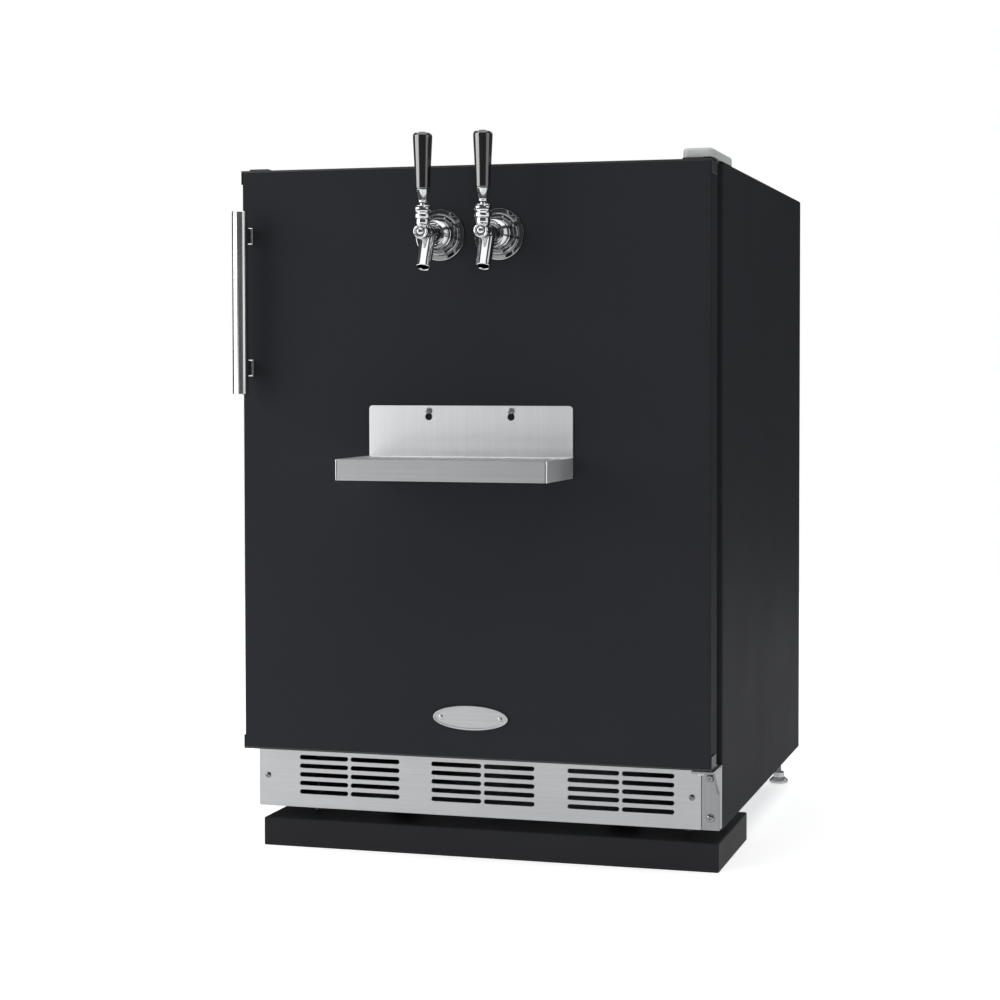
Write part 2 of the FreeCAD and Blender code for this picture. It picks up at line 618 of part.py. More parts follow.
def thermostat_knob():
    """Round knob with a raised grip bar and a short shaft."""
    x, z = KNOB
    skirt = turned([(0, 0), (14, 0), (14, 3), (11, 5), (10, 11), (0, 11)],
                   (x, HOUSING_Y[0] - 0.4, z), (0, -1, 0))
    bar = slab((x - 2.2, x + 2.2), (HOUSING_Y[0] - 15.0, HOUSING_Y[0] - 8.0), (z - 10, z + 12))
    shaft = rod(3.0, (x, HOUSING_Y[0] - 1, z), (x, HOUSING_Y[0] + 8, z))
    return joined([skirt, bar, shaft])


def lamp_rocker():
    """Rocker with a shallow V face, resting with its lower half pressed in."""
    x, z = ROCKER
    y = HOUSING_Y[0] + 4.0
    outline = [(x - 7, y - 5.5, z), (x - 7, y - 8.0, z + 10.5), (x - 7, y + 3, z + 9.5),
               (x - 7, y + 3, z - 9.5), (x - 7, y - 8.0, z - 10.5)]
    body = plate(outline, (14, 0, 0))
    body.rotate(V(x, y, z), V(1, 0, 0), 7.0)
    return body


def lamp_lens():
    return slab((140.3, 199.7), (-124.7, -85.3), (HOUSING_Z[0] - 1.0, HOUSING_Z[0] + 5.0))


# ---- door ----
def door_skin():
    x, z = (-HALF + CLIP, HALF - CLIP), (DOOR_BOTTOM + CAP, DOOR_TOP - CAP)
    outer = slab(x, (Y_FRONT, Y_FRONT + DOOR_EDGE), z)
    outer = outer.makeFillet(1.5, edges_along(outer, (0, 0, 1), lambda p: p.y < Y_FRONT + 1))
    inner = slab((x[0] + SHEET, x[1] - SHEET), (Y_FRONT + SHEET, Y_FRONT + DOOR_EDGE), z)
    shanks = [rod(SHANK_R, (a, Y_FRONT, TAP_Z), (a, Y_FRONT + DOOR_EDGE, TAP_Z))
              for a in (-TAP_X, TAP_X)]
    return outer.cut([inner] + shanks)


def dish(grow):
    """The hollow in the middle of the door's inner face, grown into the door."""
    x = HALF - DISH_INSET + grow
    return slab((-x, x), (Y_FRONT + DOOR_LINER_BACK - DISH_DEPTH - grow, Y_FRONT + 100),
                (DOOR_BOTTOM + DISH_INSET - grow, DOOR_TOP - DISH_INSET + grow))


def door_pan(inset):
    """Raised block of the door's inner liner, inset by a wall."""
    x = HALF - PAN_INSET - inset
    block = slab((-x, x), (Y_FRONT + DOOR_EDGE - LINER, Y_FRONT + DOOR_LINER_BACK - inset),
                 (DOOR_BOTTOM + PAN_INSET + inset, DOOR_TOP - PAN_INSET - inset))
    block = block.makeFillet(5.0 - inset, edges_along(block, (0, 1, 0), lambda p: True))
    return block.cut(dish(inset))


def shank_holes():
    return [rod(SHANK_R, (x, Y_FRONT, TAP_Z), (x, Y_FRONT + 100, TAP_Z)) for x in (-TAP_X, TAP_X)]


def boss(z):
    """Solid block of an end cap around a hinge bush."""
    return slab((PIVOT_X - BOSS, PIVOT_X + BOSS), (PIVOT_Y - BOSS, Y_FRONT + DOOR_EDGE - LINER), z)


def door_liner():
    y = (Y_FRONT + DOOR_EDGE - LINER, Y_FRONT + DOOR_EDGE)
    flange = slab((-HALF + CLIP + SHEET, HALF - CLIP - SHEET), y,
                  (DOOR_BOTTOM + CAP, DOOR_TOP - CAP))
    return flange.fuse(door_pan(0)).cut([door_pan(LINER)] + shank_holes()).removeSplitter()


def door_foam():
    block = slab((-HALF + CLIP + SHEET, HALF - CLIP - SHEET),
                 (Y_FRONT + SHEET, Y_FRONT + DOOR_EDGE - LINER), (DOOR_BOTTOM + CAP, DOOR_TOP - CAP))
    return block.fuse(door_pan(LINER)).cut([boss(LOW_BOSS), boss(HIGH_BOSS)] + shank_holes())


def end_cap(z_plate, z_clip, z_boss, bush_start):
    """Moulded cap: a plate, two corner clips and a boss bored for the hinge bush."""
    y = (Y_FRONT, Y_FRONT + DOOR_EDGE)
    shape = [slab((-HALF, HALF), y, z_plate), boss(z_boss)]
    shape += [slab(x, (Y_FRONT, Y_FRONT + 26.0), z_clip)
              for x in ((-HALF, -HALF + CLIP), (HALF - CLIP, HALF))]
    hole = rod(BUSH_R, (PIVOT_X, PIVOT_Y, bush_start), (PIVOT_X, PIVOT_Y, bush_start + BUSH_LENGTH))
    return joined(shape).cut(hole)


def door_top_cap():
    cap = end_cap((DOOR_TOP - CAP, DOOR_TOP), (DOOR_TOP - CLIP_HEIGHT, DOOR_TOP), HIGH_BOSS,
                  DOOR_TOP - BUSH_LENGTH)
    hump_half, hump_in, hump_rise = 13.0, 24.0, 1.8
    humps = []
    for side in (-1, 1):
        x = side * (HALF - hump_in)
        hump = slab((x - hump_half, x + hump_half), (Y_FRONT, Y_FRONT + 12.0),
                    (DOOR_TOP - 1, DOOR_TOP + hump_rise))
        humps.append(hump.makeFillet(2.5, edges_along(hump, (0, 1, 0), lambda p: p.z > DOOR_TOP)))
    return joined([cap] + humps)


def door_bottom_cap():
    return end_cap((DOOR_BOTTOM, DOOR_BOTTOM + CAP), (DOOR_BOTTOM, DOOR_BOTTOM + CLIP_HEIGHT),
                   LOW_BOSS, DOOR_BOTTOM)


def hinge_bushes():
    """Two blind nylon bushes that turn on the hinge pins."""
    profile = [(PIN_R + RUNNING, 0), (BUSH_R, 0), (BUSH_R, BUSH_LENGTH), (0, BUSH_LENGTH),
               (0, BUSH_LENGTH - 0.8), (PIN_R + RUNNING, BUSH_LENGTH - 0.8)]
    return group([turned(profile, (PIVOT_X, PIVOT_Y, DOOR_BOTTOM), (0, 0, 1)),
                  turned(profile, (PIVOT_X, PIVOT_Y, DOOR_TOP), (0, 0, -1))])


def door_gasket():
    """Magnetic seal: base strip, bellows and magnet head, round the door's inner edge."""
    outer_x, outer_low, outer_high, wide = 280.0, DOOR_BOTTOM + 14.0, DOOR_TOP - 14.0, 12.0
    steps = ((0.0, 0.0, 4.0), (3.0, 4.0, 8.5), (0.0, 8.5, 12.7))
    rings = []
    for waist, start, end in steps:
        y = (Y_FRONT + DOOR_LINER_BACK + start, Y_FRONT + DOOR_LINER_BACK + end)
        far = slab((-outer_x + waist, outer_x - waist), y, (outer_low + waist, outer_high - waist))
        near = slab((-outer_x + wide - waist, outer_x - wide + waist), y,
                    (outer_low + wide - waist, outer_high - wide + waist))
        rings.append(far.cut(near))
    return joined(rings)


def handle_bar():
    bar = rod(HANDLE_R, (HANDLE_X, Y_FRONT - HANDLE_REACH, HANDLE_BOTTOM),
              (HANDLE_X, Y_FRONT - HANDLE_REACH, HANDLE_TOP))
    return bar.makeChamfer(0.8, [edge for edge in bar.Edges if len(edge.Vertexes) == 1])


def handle_posts():
    """Two flat posts from the door to the bar, shaped to the bar's back."""
    half_wide, half_tall = 3.5, 9.2
    bar = rod(HANDLE_R, (HANDLE_X, Y_FRONT - HANDLE_REACH, 0), (HANDLE_X, Y_FRONT - HANDLE_REACH, HEIGHT))
    posts = []
    for z in POST_Z:
        post = slab((HANDLE_X - half_wide, HANDLE_X + half_wide),
                    (Y_FRONT - HANDLE_REACH + 4, Y_FRONT), (z - half_tall, z + half_tall))
        posts.append(post.cut(bar))
    return group(posts)


def oval(half_x, half_z, y):
    """Elliptical disc through the pair y, on the badge's centre."""
    ellipse = Part.Ellipse(V(half_x, y[0], BADGE_Z), V(0, y[0], BADGE_Z + half_z), V(0, y[0], BADGE_Z))
    return Part.Face(Part.Wire([ellipse.toShape()])).extrude(V(0, y[1] - y[0], 0))


def badge_plate():
    """Plain oval plate with a raised rim."""
    rim, thick, field = 2.6, 2.2, 1.4
    body = oval(BADGE_HALF, BADGE_HALF_HEIGHT, (Y_FRONT - thick, Y_FRONT))
    hollow = oval(BADGE_HALF - rim, BADGE_HALF_HEIGHT - rim, (Y_FRONT - thick, Y_FRONT - field))
    holes = [rod(1.5, (x, Y_FRONT - thick, BADGE_Z), (x, Y_FRONT, BADGE_Z)) for x in BADGE_RIVETS]
    return body.cut([hollow] + holes)


def badge_rivets():
    field = 1.4
    profile = [(0, 0), (1.5, 0), (1.5, field), (2.8, field), (2.4, field + 1.0), (1.2, field + 1.7),
               (0, field + 1.8)]
    return group([turned(profile, (x, Y_FRONT, BADGE_Z), (0, -1, 0)) for x in BADGE_RIVETS])


# ---- taps ----
def at_both_taps(make):
    """The same piece at the left and the right tap, as separate solids of one node."""
    return group([make(-TAP_X), make(TAP_X)])


def tap_flange(x):
    """Stepped, dished escutcheon around the shank."""
    profile = [(SHANK_R, 0), (FLANGE_R, 0), (FLANGE_R, 1.6), (FLANGE_R - 1.2, 2.6),
               (FLANGE_R - 6, 4.2), (FLANGE_R - 7, 7.0), (COLLAR_R + 5, 8.6), (COLLAR_R + 3, 8.0),
               (SHANK_R, 8.0)]
    return turned(profile, (x, Y_FRONT, TAP_Z), (0, -1, 0))


def tap_shank(x):
    """Tube through the door with a smooth tail for the beer line."""
    front, back = 16.0, DOOR_LINER_BACK + 22.0
    tail = back + TAIL_LENGTH
    profile = [(3.0, -front), (SHANK_R, -front), (SHANK_R, back), (6.0, back + 2), (TAIL_R, back + 2),
               (TAIL_R, tail), (3.0, tail)]
    return turned(profile, (x, Y_FRONT, TAP_Z), (0, 1, 0))


def shank_nut(x):
    """Hexagonal nut that clamps the shank against the door's inner liner."""
    start, height, reach = DOOR_LINER_BACK - DISH_DEPTH, 9.0, 18.0
    corners = [(x + reach * math.cos(math.radians(60 * k)), Y_FRONT + start,
                TAP_Z + reach * math.sin(math.radians(60 * k))) for k in range(6)]
    bore = rod(SHANK_R, (x, Y_FRONT, TAP_Z), (x, Y_FRONT + 100, TAP_Z))
    return plate(corners, (0, height, 0)).cut(bore)


def tap_collar(x):
    """Round coupling nut between shank and tap body, with two grooves and spanner holes."""
    front, back = 25.0, 8.2
    profile = [(SHANK_R, back), (COLLAR_R, back), (COLLAR_R, back + 3), (COLLAR_R - 1.2, back + 3.6),
               (COLLAR_R - 1.2, back + 5), (COLLAR_R, back + 5.6), (COLLAR_R, front - 5),
               (COLLAR_R - 2.5, front - 2), (COLLAR_R - 4, front), (SHANK_R, front)]
    nut = turned(profile, (x, Y_FRONT, TAP_Z), (0, -1, 0))
    holes = []
    for k in range(6):
        angle = math.radians(60 * k + 30)
        direction = (math.cos(angle), math.sin(angle))
        start = (x + COLLAR_R * 1.1 * direction[0], Y_FRONT - back - 9.5, TAP_Z + COLLAR_R * 1.1 * direction[1])
        end = (x + 14.5 * direction[0], Y_FRONT - back - 9.5, TAP_Z + 14.5 * direction[1])
        holes.append(rod(2.0, start, end))
    return nut.cut(holes)


def tap_body(x):
    """Barrel, bonnet and spout in one casting, bored for the plunger, the lever and the beer."""
    y = Y_FRONT
    barrel = turned([(0, 16), (SHANK_R - 0.1, 16), (SHANK_R - 0.1, 28), (10.2, 32), (9.4, 42), (9.4, 52),
                     (0, 52)], (x, y, TAP_Z), (0, -1, 0))
    nose = turned([(0, 50), (8.4, 50), (8.4, 66), (7.9, 67.5), (7.9, CAP_REACH), (7.2, CAP_REACH + 0.8),
                   (5.4, CAP_REACH + 0.8), (5.0, CAP_REACH - 0.6), (4.4, CAP_REACH + 0.6),
                   (2.6, CAP_REACH + 2.2), (0, CAP_REACH + 2.8)], (x, y, TAP_Z), (0, -1, 0))
    yl = y - LEVER_REACH
    bonnet = turned([(0, -6), (7.6, -6), (8.0, 8), (8.8, 11), (8.8, 14.5), (BONNET_R - 0.6, 15.2),
                     (BONNET_R, 16), (BONNET_R, 21), (BONNET_R - 1, 21.8), (BONNET_R - 1, 23),
                     (BONNET_R, 23.8), (BONNET_R, BONNET_TOP - 1.5), (BONNET_R - 1.2, BONNET_TOP),
                     (0, BONNET_TOP)], (x, yl, TAP_Z), (0, 0, 1))
    spout = taper(SPOUT_R + 0.6, SPOUT_R, (x, y - 46, TAP_Z), (x, y - 58, TAP_Z - 44))
    shape = joined([barrel, nose, bonnet, spout])
    bore = rod(5.2, (x, y - 16, TAP_Z), (x, y - LEVER_REACH - 6, TAP_Z))
    beer = rod(SPOUT_BORE_R, (x, y - 48.2, TAP_Z - 8), (x, y - 59.5, TAP_Z - 49.5))
    pivot = TAP_Z + PIVOT_RISE
    ball = Part.makeSphere(LEVER_BALL_R + RUNNING, V(x, yl, pivot))
    throat = taper(4.6, 8.0, (x, yl, pivot + 1), (x, yl, TAP_Z + BONNET_TOP + 0.01))
    below = plate([(x - 2.6, yl - 2.6, pivot), (x - 2.6, yl + 2.8, pivot),
                   (x - 2.6, yl + 8.9, TAP_Z + 4), (x - 2.6, yl - 2.6, TAP_Z + 4)], (5.2, 0, 0))
    return shape.cut([bore, beer, ball, throat, below])


def tap_lever(x):
    """Chrome lever: tip in the plunger, pivot ball, neck and the ferrule that takes the handle."""
    yl = Y_FRONT - LEVER_REACH
    pivot = TAP_Z + PIVOT_RISE
    tip = rod(LEVER_TIP_R, (x, yl, pivot - LEVER_ARM - 1.5), (x, yl, pivot))
    ball = Part.makeSphere(LEVER_BALL_R, V(x, yl, pivot))
    neck = rod(3.4, (x, yl, pivot), (x, yl, pivot + 12))
    ferrule = turned([(0, 11), (5.0, 11), (5.4, 12), (5.8, 14), (8.2, 26.5), (8.2, 27.5), (0, 27.5)],
                     (x, yl, pivot), (0, 0, 1))
    return joined([tip, ball, neck, ferrule])


def tap_handle(x):
    """Tapered glossy grip with a crowned top."""
    profile = [(0, 27.5), (8.9, 27.5), (9.0, 28.5), (9.6, 48), (10.6, 72), (11.4, 86), (11.5, 89.5),
               (10.9, 92.2), (9.4, 93.8), (6.0, 94.6), (0, 94.8)]
    return turned(profile, (x, Y_FRONT - LEVER_REACH, TAP_Z + PIVOT_RISE), (0, 0, 1))


def tap_plunger(x):
    """Shaft in the barrel, waisted where the lever's tip reaches in, with a seal behind."""
    yl = Y_FRONT - LEVER_REACH
    shaft = rod(5.1, (x, yl - 5.5, TAP_Z), (x, yl + 9.0, TAP_Z))
    stem = rod(2.4, (x, yl + 9.0, TAP_Z), (x, Y_FRONT - 31.0, TAP_Z))
    seal = rod(4.9, (x, Y_FRONT - 31.0, TAP_Z), (x, Y_FRONT - 27.0, TAP_Z))
    pocket = slab((x - 2.6, x + 2.6), (yl - 3.5, yl + 2.9), (TAP_Z + 0.4, TAP_Z + 6))
    return joined([shaft, stem, seal]).cut(pocket)


# ---- drip tray ----
def drip_tray():
    """Folded stainless tray and back plate, hung on two keyholes."""
    back = Y_FRONT - TRAY_GAP
    x, top = (-TRAY_HALF, TRAY_HALF), TRAY_Z + TRAY_BACK_HEIGHT
    upright = slab(x, (back - TRAY_SHEET, back), (TRAY_Z, top))
    upright = upright.makeFillet(5.0, edges_along(upright, (0, 1, 0), lambda p: p.z > top - 1))
    outer = slab(x, (Y_FRONT - TRAY_REACH, back), (TRAY_Z, TRAY_Z + TRAY_HEIGHT))
    inner = slab((x[0] + TRAY_SHEET, x[1] - TRAY_SHEET),
                 (Y_FRONT - TRAY_REACH + TRAY_SHEET, back - TRAY_SHEET),
                 (TRAY_Z + TRAY_SHEET, TRAY_Z + TRAY_HEIGHT))
    through = (back - TRAY_SHEET, back)
    holes = []
    for side in (-1, 1):
        a = side * KEYHOLE_X
        high = top - KEYHOLE_FROM_TOP
        holes.append(rod(SCREW_HEAD_R + 0.5, (a, through[0], high - KEYHOLE_DROP),
                         (a, through[1], high - KEYHOLE_DROP)))
        holes.append(rod(2.4, (a, through[0], high), (a, through[1], high)))
        holes.append(slab((a - 2.4, a + 2.4), through, (high - KEYHOLE_DROP, high)))
    seam = 0.8
    seams = [slab(pair, (Y_FRONT - TRAY_REACH, Y_FRONT - TRAY_REACH + TRAY_SHEET),
                  (TRAY_Z + 2.0, TRAY_Z + TRAY_HEIGHT - 1.2))
             for pair in ((x[0] + TRAY_SHEET, x[0] + TRAY_SHEET + seam),
                          (x[1] - TRAY_SHEET - seam, x[1] - TRAY_SHEET))]
    return joined([upright, outer.cut(inner)]).cut(holes + seams)


def drip_grid():
    """Slotted plate on front and rear skirts, standing loose in the tray."""
    clear, sheet = 1.2, 1.5
    half = TRAY_HALF - TRAY_SHEET - clear
    y = (Y_FRONT - TRAY_REACH + TRAY_SHEET + clear, Y_FRONT - TRAY_GAP - TRAY_SHEET - clear)
    top = TRAY_Z + TRAY_HEIGHT - GRID_RECESS
    flat = slab((-half, half), y, (top - sheet, top))
    skirts = [slab((-half, half), pair, (TRAY_Z + TRAY_SHEET, top))
              for pair in ((y[0], y[0] + sheet), (y[1] - sheet, y[1]))]
    pitch, slot_half, margin = 12.6, 3.7, 8.0
    slots = []
    for index in range(GRID_SLOTS):
        x = (index - (GRID_SLOTS - 1) / 2) * pitch
        slots.append(slab((x - slot_half, x + slot_half), (y[0] + margin, y[1] - margin),
                          (top - sheet, top)))
    return joined([flat] + skirts).cut(slots)


def tray_screws():
    """Two domed screws in the door that the keyholes hang on."""
    z = TRAY_Z + TRAY_BACK_HEIGHT - KEYHOLE_FROM_TOP
    start = TRAY_GAP + TRAY_SHEET + 0.3
    profile = [(0, 0), (2.0, 0), (2.0, start), (SCREW_HEAD_R, start), (SCREW_HEAD_R, start + 0.8),
               (3.0, start + 2.2), (1.4, start + 2.9), (0, start + 3.0)]
    return group([turned(profile, (x, Y_FRONT, z), (0, -1, 0)) for x in (-KEYHOLE_X, KEYHOLE_X)])


# ---- the whole object ----
def nodes():
    """Every piece by its node name."""
    pieces = {
        "cabinet_shell": cabinet_shell(),
        "cabinet_back_panel": cabinet_back_panel(),
        "cabinet_liner": cabinet_liner(),
        "cabinet_foam": cabinet_foam(),
        "machine_bay_plate": machine_bay_plate(),
        "base_plate": base_plate(),
        "rear_grille": rear_grille(),
        "mains_gland": mains_gland(),
        "gas_line_grommet": gas_line_grommet(),
        "keg_floor_plate": keg_floor_plate(),
        "kickplate": kickplate(),
        "front_screws": front_screws(),
        "lower_hinge_bracket": lower_hinge_bracket(),
        "hinge_pins": hinge_pins(),
        "upper_hinge_bracket": upper_hinge_bracket(),
        "upper_hinge_cover": upper_hinge_cover(),
        "toe_kick": toe_kick(),
        "foot_nuts": foot_nuts(),
        "compressor": compressor(),
        "compressor_mounts": compressor_mounts(),
        "condenser_coil": condenser_coil(),
        "condenser_fan_shroud": condenser_fan_shroud(),
        "fan_motors": fan_motors(),
        "condenser_fan_blade": condenser_fan_blade(),
        "evaporator_cover": evaporator_cover(),
        "evaporator_coil": evaporator_coil(),
        "evaporator_fan_blade": evaporator_fan_blade(),
        "thermostat_housing": thermostat_housing(),
        "thermostat_knob": thermostat_knob(),
        "lamp_rocker": lamp_rocker(),
        "lamp_lens": lamp_lens(),
        "door_skin": door_skin(),
        "door_liner": door_liner(),
        "door_foam": door_foam(),
        "door_gasket": door_gasket(),
        "door_top_cap": door_top_cap(),
        "door_bottom_cap": door_bottom_cap(),
        "hinge_bushes": hinge_bushes(),
        "handle_bar": handle_bar(),
        "handle_posts": handle_posts(),
        "badge_plate": badge_plate(),
        "badge_rivets": badge_rivets(),
        "tap_flanges": at_both_taps(tap_flange),
        "tap_shanks": at_both_taps(tap_shank),
        "shank_nuts": at_both_taps(shank_nut),
        "tap_collars": at_both_taps(tap_collar),
        "tap_bodies": at_both_taps(tap_body),
        "drip_tray": drip_tray(),
        "drip_grid": drip_grid(),
        "tray_screws": tray_screws(),
    }
    for side, x in (("left", -TAP_X), ("right", TAP_X)):
        pieces["tap_lever_" + side] = tap_lever(x)
        pieces["tap_handle_" + side] = tap_handle(x)
        pieces["tap_plunger_" + side] = tap_plunger(x)
    for corner, (x, y) in FOOT_SPOTS.items():
        pieces["levelling_foot_" + corner] = levelling_foot(x, y)
    return pieces


def main():
    os.makedirs("parts", exist_ok=True)
    for name, shape in nodes().items():
        shape.exportStep("parts/" + name + ".step")
        print(name, "valid" if shape.isValid() else "INVALID", len(shape.Solids), round(shape.Volume))


main()
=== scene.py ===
"""Looks of the twin-tap kegerator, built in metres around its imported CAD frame."""
import json
import math

import bmesh
import bpy
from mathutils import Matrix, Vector
from mathutils.geometry import delaunay_2d_cdt


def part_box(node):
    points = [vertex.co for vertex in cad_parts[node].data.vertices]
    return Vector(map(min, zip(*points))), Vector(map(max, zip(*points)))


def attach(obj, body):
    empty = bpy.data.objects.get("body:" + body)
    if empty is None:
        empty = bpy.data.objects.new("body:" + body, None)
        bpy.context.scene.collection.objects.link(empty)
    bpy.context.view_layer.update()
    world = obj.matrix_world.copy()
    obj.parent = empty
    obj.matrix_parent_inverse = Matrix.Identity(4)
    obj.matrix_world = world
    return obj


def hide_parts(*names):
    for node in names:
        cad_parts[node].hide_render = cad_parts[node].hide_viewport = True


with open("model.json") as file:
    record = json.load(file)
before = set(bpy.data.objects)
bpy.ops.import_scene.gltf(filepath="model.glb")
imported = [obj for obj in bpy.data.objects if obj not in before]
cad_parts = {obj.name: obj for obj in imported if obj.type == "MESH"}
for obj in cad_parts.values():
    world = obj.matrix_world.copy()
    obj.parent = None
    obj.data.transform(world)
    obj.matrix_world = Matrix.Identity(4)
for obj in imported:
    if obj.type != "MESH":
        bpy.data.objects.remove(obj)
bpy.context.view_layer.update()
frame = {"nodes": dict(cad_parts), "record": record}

MM = 0.001
BOX = {name: tuple(Vector(corner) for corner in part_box(name)) for name in frame["nodes"]}
SHEET = 1.0 * MM
TAU = 2 * math.pi


# ---------------------------------------------------------------- materials
class Tree:
    """Short ways to add nodes to one material; the shader is Principled BSDF."""

    def __init__(self, name, **sockets):
        self.material = bpy.data.materials.new(name)
        self.material.use_nodes = True
        self.tree = self.material.node_tree
        self.shader = self.tree.nodes["Principled BSDF"]
        self.coords = self.tree.nodes.new("ShaderNodeTexCoord").outputs["Object"]
        for key, value in sockets.items():
            self.shader.inputs[key.replace("_", " ")].default_value = value

    def node(self, kind, **inputs):
        made = self.tree.nodes.new(kind)
        for key, value in inputs.items():
            socket = made.inputs[key.replace("_", " ")]
            if isinstance(value, bpy.types.NodeSocket):
                self.tree.links.new(value, socket)
            else:
                socket.default_value = value
        return made

    def stretched(self, stretch):
        return self.node("ShaderNodeMapping", Vector=self.coords, Scale=stretch).outputs["Vector"]

    def noise(self, scale, stretch=(1, 1, 1), detail=4.0, roughness=0.5, distortion=0.0):
        made = self.node("ShaderNodeTexNoise", Vector=self.stretched(stretch), Scale=scale,
                         Detail=detail, Roughness=roughness, Distortion=distortion)
        return made.outputs["Fac"]

    def cells(self, scale):
        return self.node("ShaderNodeTexVoronoi", Vector=self.coords, Scale=scale)

    def ranged(self, value, low, high, source=(0.3, 0.7)):
        made = self.node("ShaderNodeMapRange", Value=value, From_Min=source[0], From_Max=source[1],
                         To_Min=low, To_Max=high)
        return made.outputs["Result"]

    def math(self, operation, first, second):
        made = self.tree.nodes.new("ShaderNodeMath")
        made.operation = operation
        for socket, value in zip(made.inputs, (first, second)):
            if isinstance(value, bpy.types.NodeSocket):
                self.tree.links.new(value, socket)
            else:
                socket.default_value = value
        return made.outputs["Value"]

    def colours(self, value, stops):
        """Colour ramp from (place, colour) stops."""
        made = self.node("ShaderNodeValToRGB", Fac=value)
        ramp = made.color_ramp
        while len(ramp.elements) < len(stops):
            ramp.elements.new(0.5)
        for element, (place, colour) in zip(ramp.elements, stops):
            element.position = place
            element.color = (*colour, 1.0)
        return made.outputs["Color"]

    def bump(self, height, distance, strength=1.0, normal=None):
        made = self.node("ShaderNodeBump", Height=height, Distance=distance, Strength=strength)
        if normal is not None:
            self.tree.links.new(normal, made.inputs["Normal"])
        return made.outputs["Normal"]

    def wire(self, **sockets):
        for key, value in sockets.items():
            self.tree.links.new(value, self.shader.inputs[key.replace("_", " ")])
        return self.material


def grey(value, blue=0.0):
    """A near-neutral colour, a little blue or, below zero, a little warm."""
    return (value * (1 - blue), value, value * (1 + blue))


def powder_coat(name, dark, light, rough, shine):
    """Satin black powder coat: orange peel, faint handling smears, fine flecks in its roughness."""
    t = Tree(name, Metallic=0.0, IOR=1.5, Specular_IOR_Level=shine)
    smears = t.noise(7.0, detail=6.0, roughness=0.62, distortion=0.6)
    peel = t.noise(950.0, detail=2.0, roughness=0.4)
    fleck = t.noise(4200.0, detail=1.0)
    tone = t.colours(t.noise(3.0, detail=3.0), [(0.35, dark), (0.7, light)])
    roughness = t.math("ADD", t.ranged(smears, rough - 0.025, rough + 0.03),
                       t.ranged(fleck, -0.02, 0.02))
    relief = t.bump(peel, 0.00006, 0.55)
    relief = t.bump(t.noise(26.0, detail=1.0), 0.00025, 0.25, relief)
    return t.wire(Base_Color=tone, Roughness=roughness, Normal=relief)


def brushed(name, dark, light, rough, along, depth=0.00003):
    """Brushed stainless: fine grain along one axis, longer streaks, smears and stray scratches."""
    t = Tree(name, Metallic=1.0)
    fine = tuple(9.0 if axis == along else 2600.0 for axis in "xyz")
    long = tuple(3.0 if axis == along else 620.0 for axis in "xyz")
    grain = t.noise(1.0, stretch=fine, detail=5.0, roughness=0.65)
    streak = t.noise(1.0, stretch=long, detail=4.0, roughness=0.6)
    smears = t.noise(11.0, detail=5.0, roughness=0.6, distortion=0.8)
    mixed = t.math("ADD", t.math("MULTIPLY", grain, 0.55), t.math("MULTIPLY", streak, 0.45))
    tone = t.colours(mixed, [(0.34, dark), (0.66, light)])
    roughness = t.math("ADD", t.ranged(mixed, rough - 0.05, rough + 0.06),
                       t.ranged(smears, -0.035, 0.04))
    return t.wire(Base_Color=tone, Roughness=roughness, Normal=t.bump(mixed, depth, 0.8))


def polished(name, dark, light, rough):
    """Chrome plate: bright, with hairline scratches and faint water marks in its roughness."""
    t = Tree(name, Metallic=1.0)
    hair = t.noise(1.0, stretch=(2400.0, 240.0, 1300.0), detail=4.0, roughness=0.7)
    marks = t.cells(130.0).outputs["Distance"]
    tone = t.colours(t.noise(24.0, detail=4.0), [(0.3, dark), (0.7, light)])
    roughness = t.math("ADD", t.ranged(hair, rough * 0.6, rough * 1.7),
                       t.ranged(marks, 0.02, 0.0, (0.0, 0.25)))
    return t.wire(Base_Color=tone, Roughness=roughness, Normal=t.bump(hair, 0.0000006, 0.3))


def moulded(name, dark, light, rough, grain=1500.0, depth=0.00004, coat=0.0):
    """Moulded plastic: fine mould grain, soft cloudiness, and a lacquered look when coated."""
    t = Tree(name, Metallic=0.0, Coat_Weight=coat, Coat_Roughness=0.05, Coat_IOR=1.9, IOR=1.49)
    tone = t.colours(t.noise(14.0, detail=5.0, roughness=0.6), [(0.3, dark), (0.72, light)])
    texture = t.noise(grain, detail=3.0, roughness=0.55)
    scuff = t.noise(60.0, stretch=(1.0, 3.0, 1.0), detail=6.0, roughness=0.7)
    return t.wire(Base_Color=tone, Roughness=t.ranged(scuff, rough * 0.85, rough * 1.2),
                  Normal=t.bump(texture, depth, 0.7))


def galvanised(name):
    """Zinc-coated sheet with its spangle and light storage stains."""
    t = Tree(name, Metallic=1.0)
    crystals = t.cells(95.0)
    tint = t.node("ShaderNodeSeparateColor", Color=crystals.outputs["Color"]).outputs["Red"]
    stains = t.noise(9.0, detail=7.0, roughness=0.65)
    value = t.math("ADD", t.math("MULTIPLY", tint, 0.6), t.math("MULTIPLY", stains, 0.4))
    tone = t.colours(value, [(0.15, grey(0.30, 0.03)), (0.85, grey(0.52, 0.04))])
    return t.wire(Base_Color=tone, Roughness=t.ranged(value, 0.36, 0.58, (0.1, 0.9)),
                  Normal=t.bump(crystals.outputs["Distance"], 0.00004, 0.5))


def copper(name):
    """Drawn copper tube, browned in patches."""
    t = Tree(name, Metallic=1.0)
    patches = t.noise(55.0, detail=6.0, roughness=0.65, distortion=0.5)
    tone = t.colours(patches, [(0.32, (0.30, 0.13, 0.07)), (0.5, (0.62, 0.31, 0.19)),
                               (0.7, (0.78, 0.44, 0.30))])
    return t.wire(Base_Color=tone, Roughness=t.ranged(patches, 0.42, 0.24),
                  Normal=t.bump(t.noise(1200.0, detail=2.0), 0.00002, 0.6))


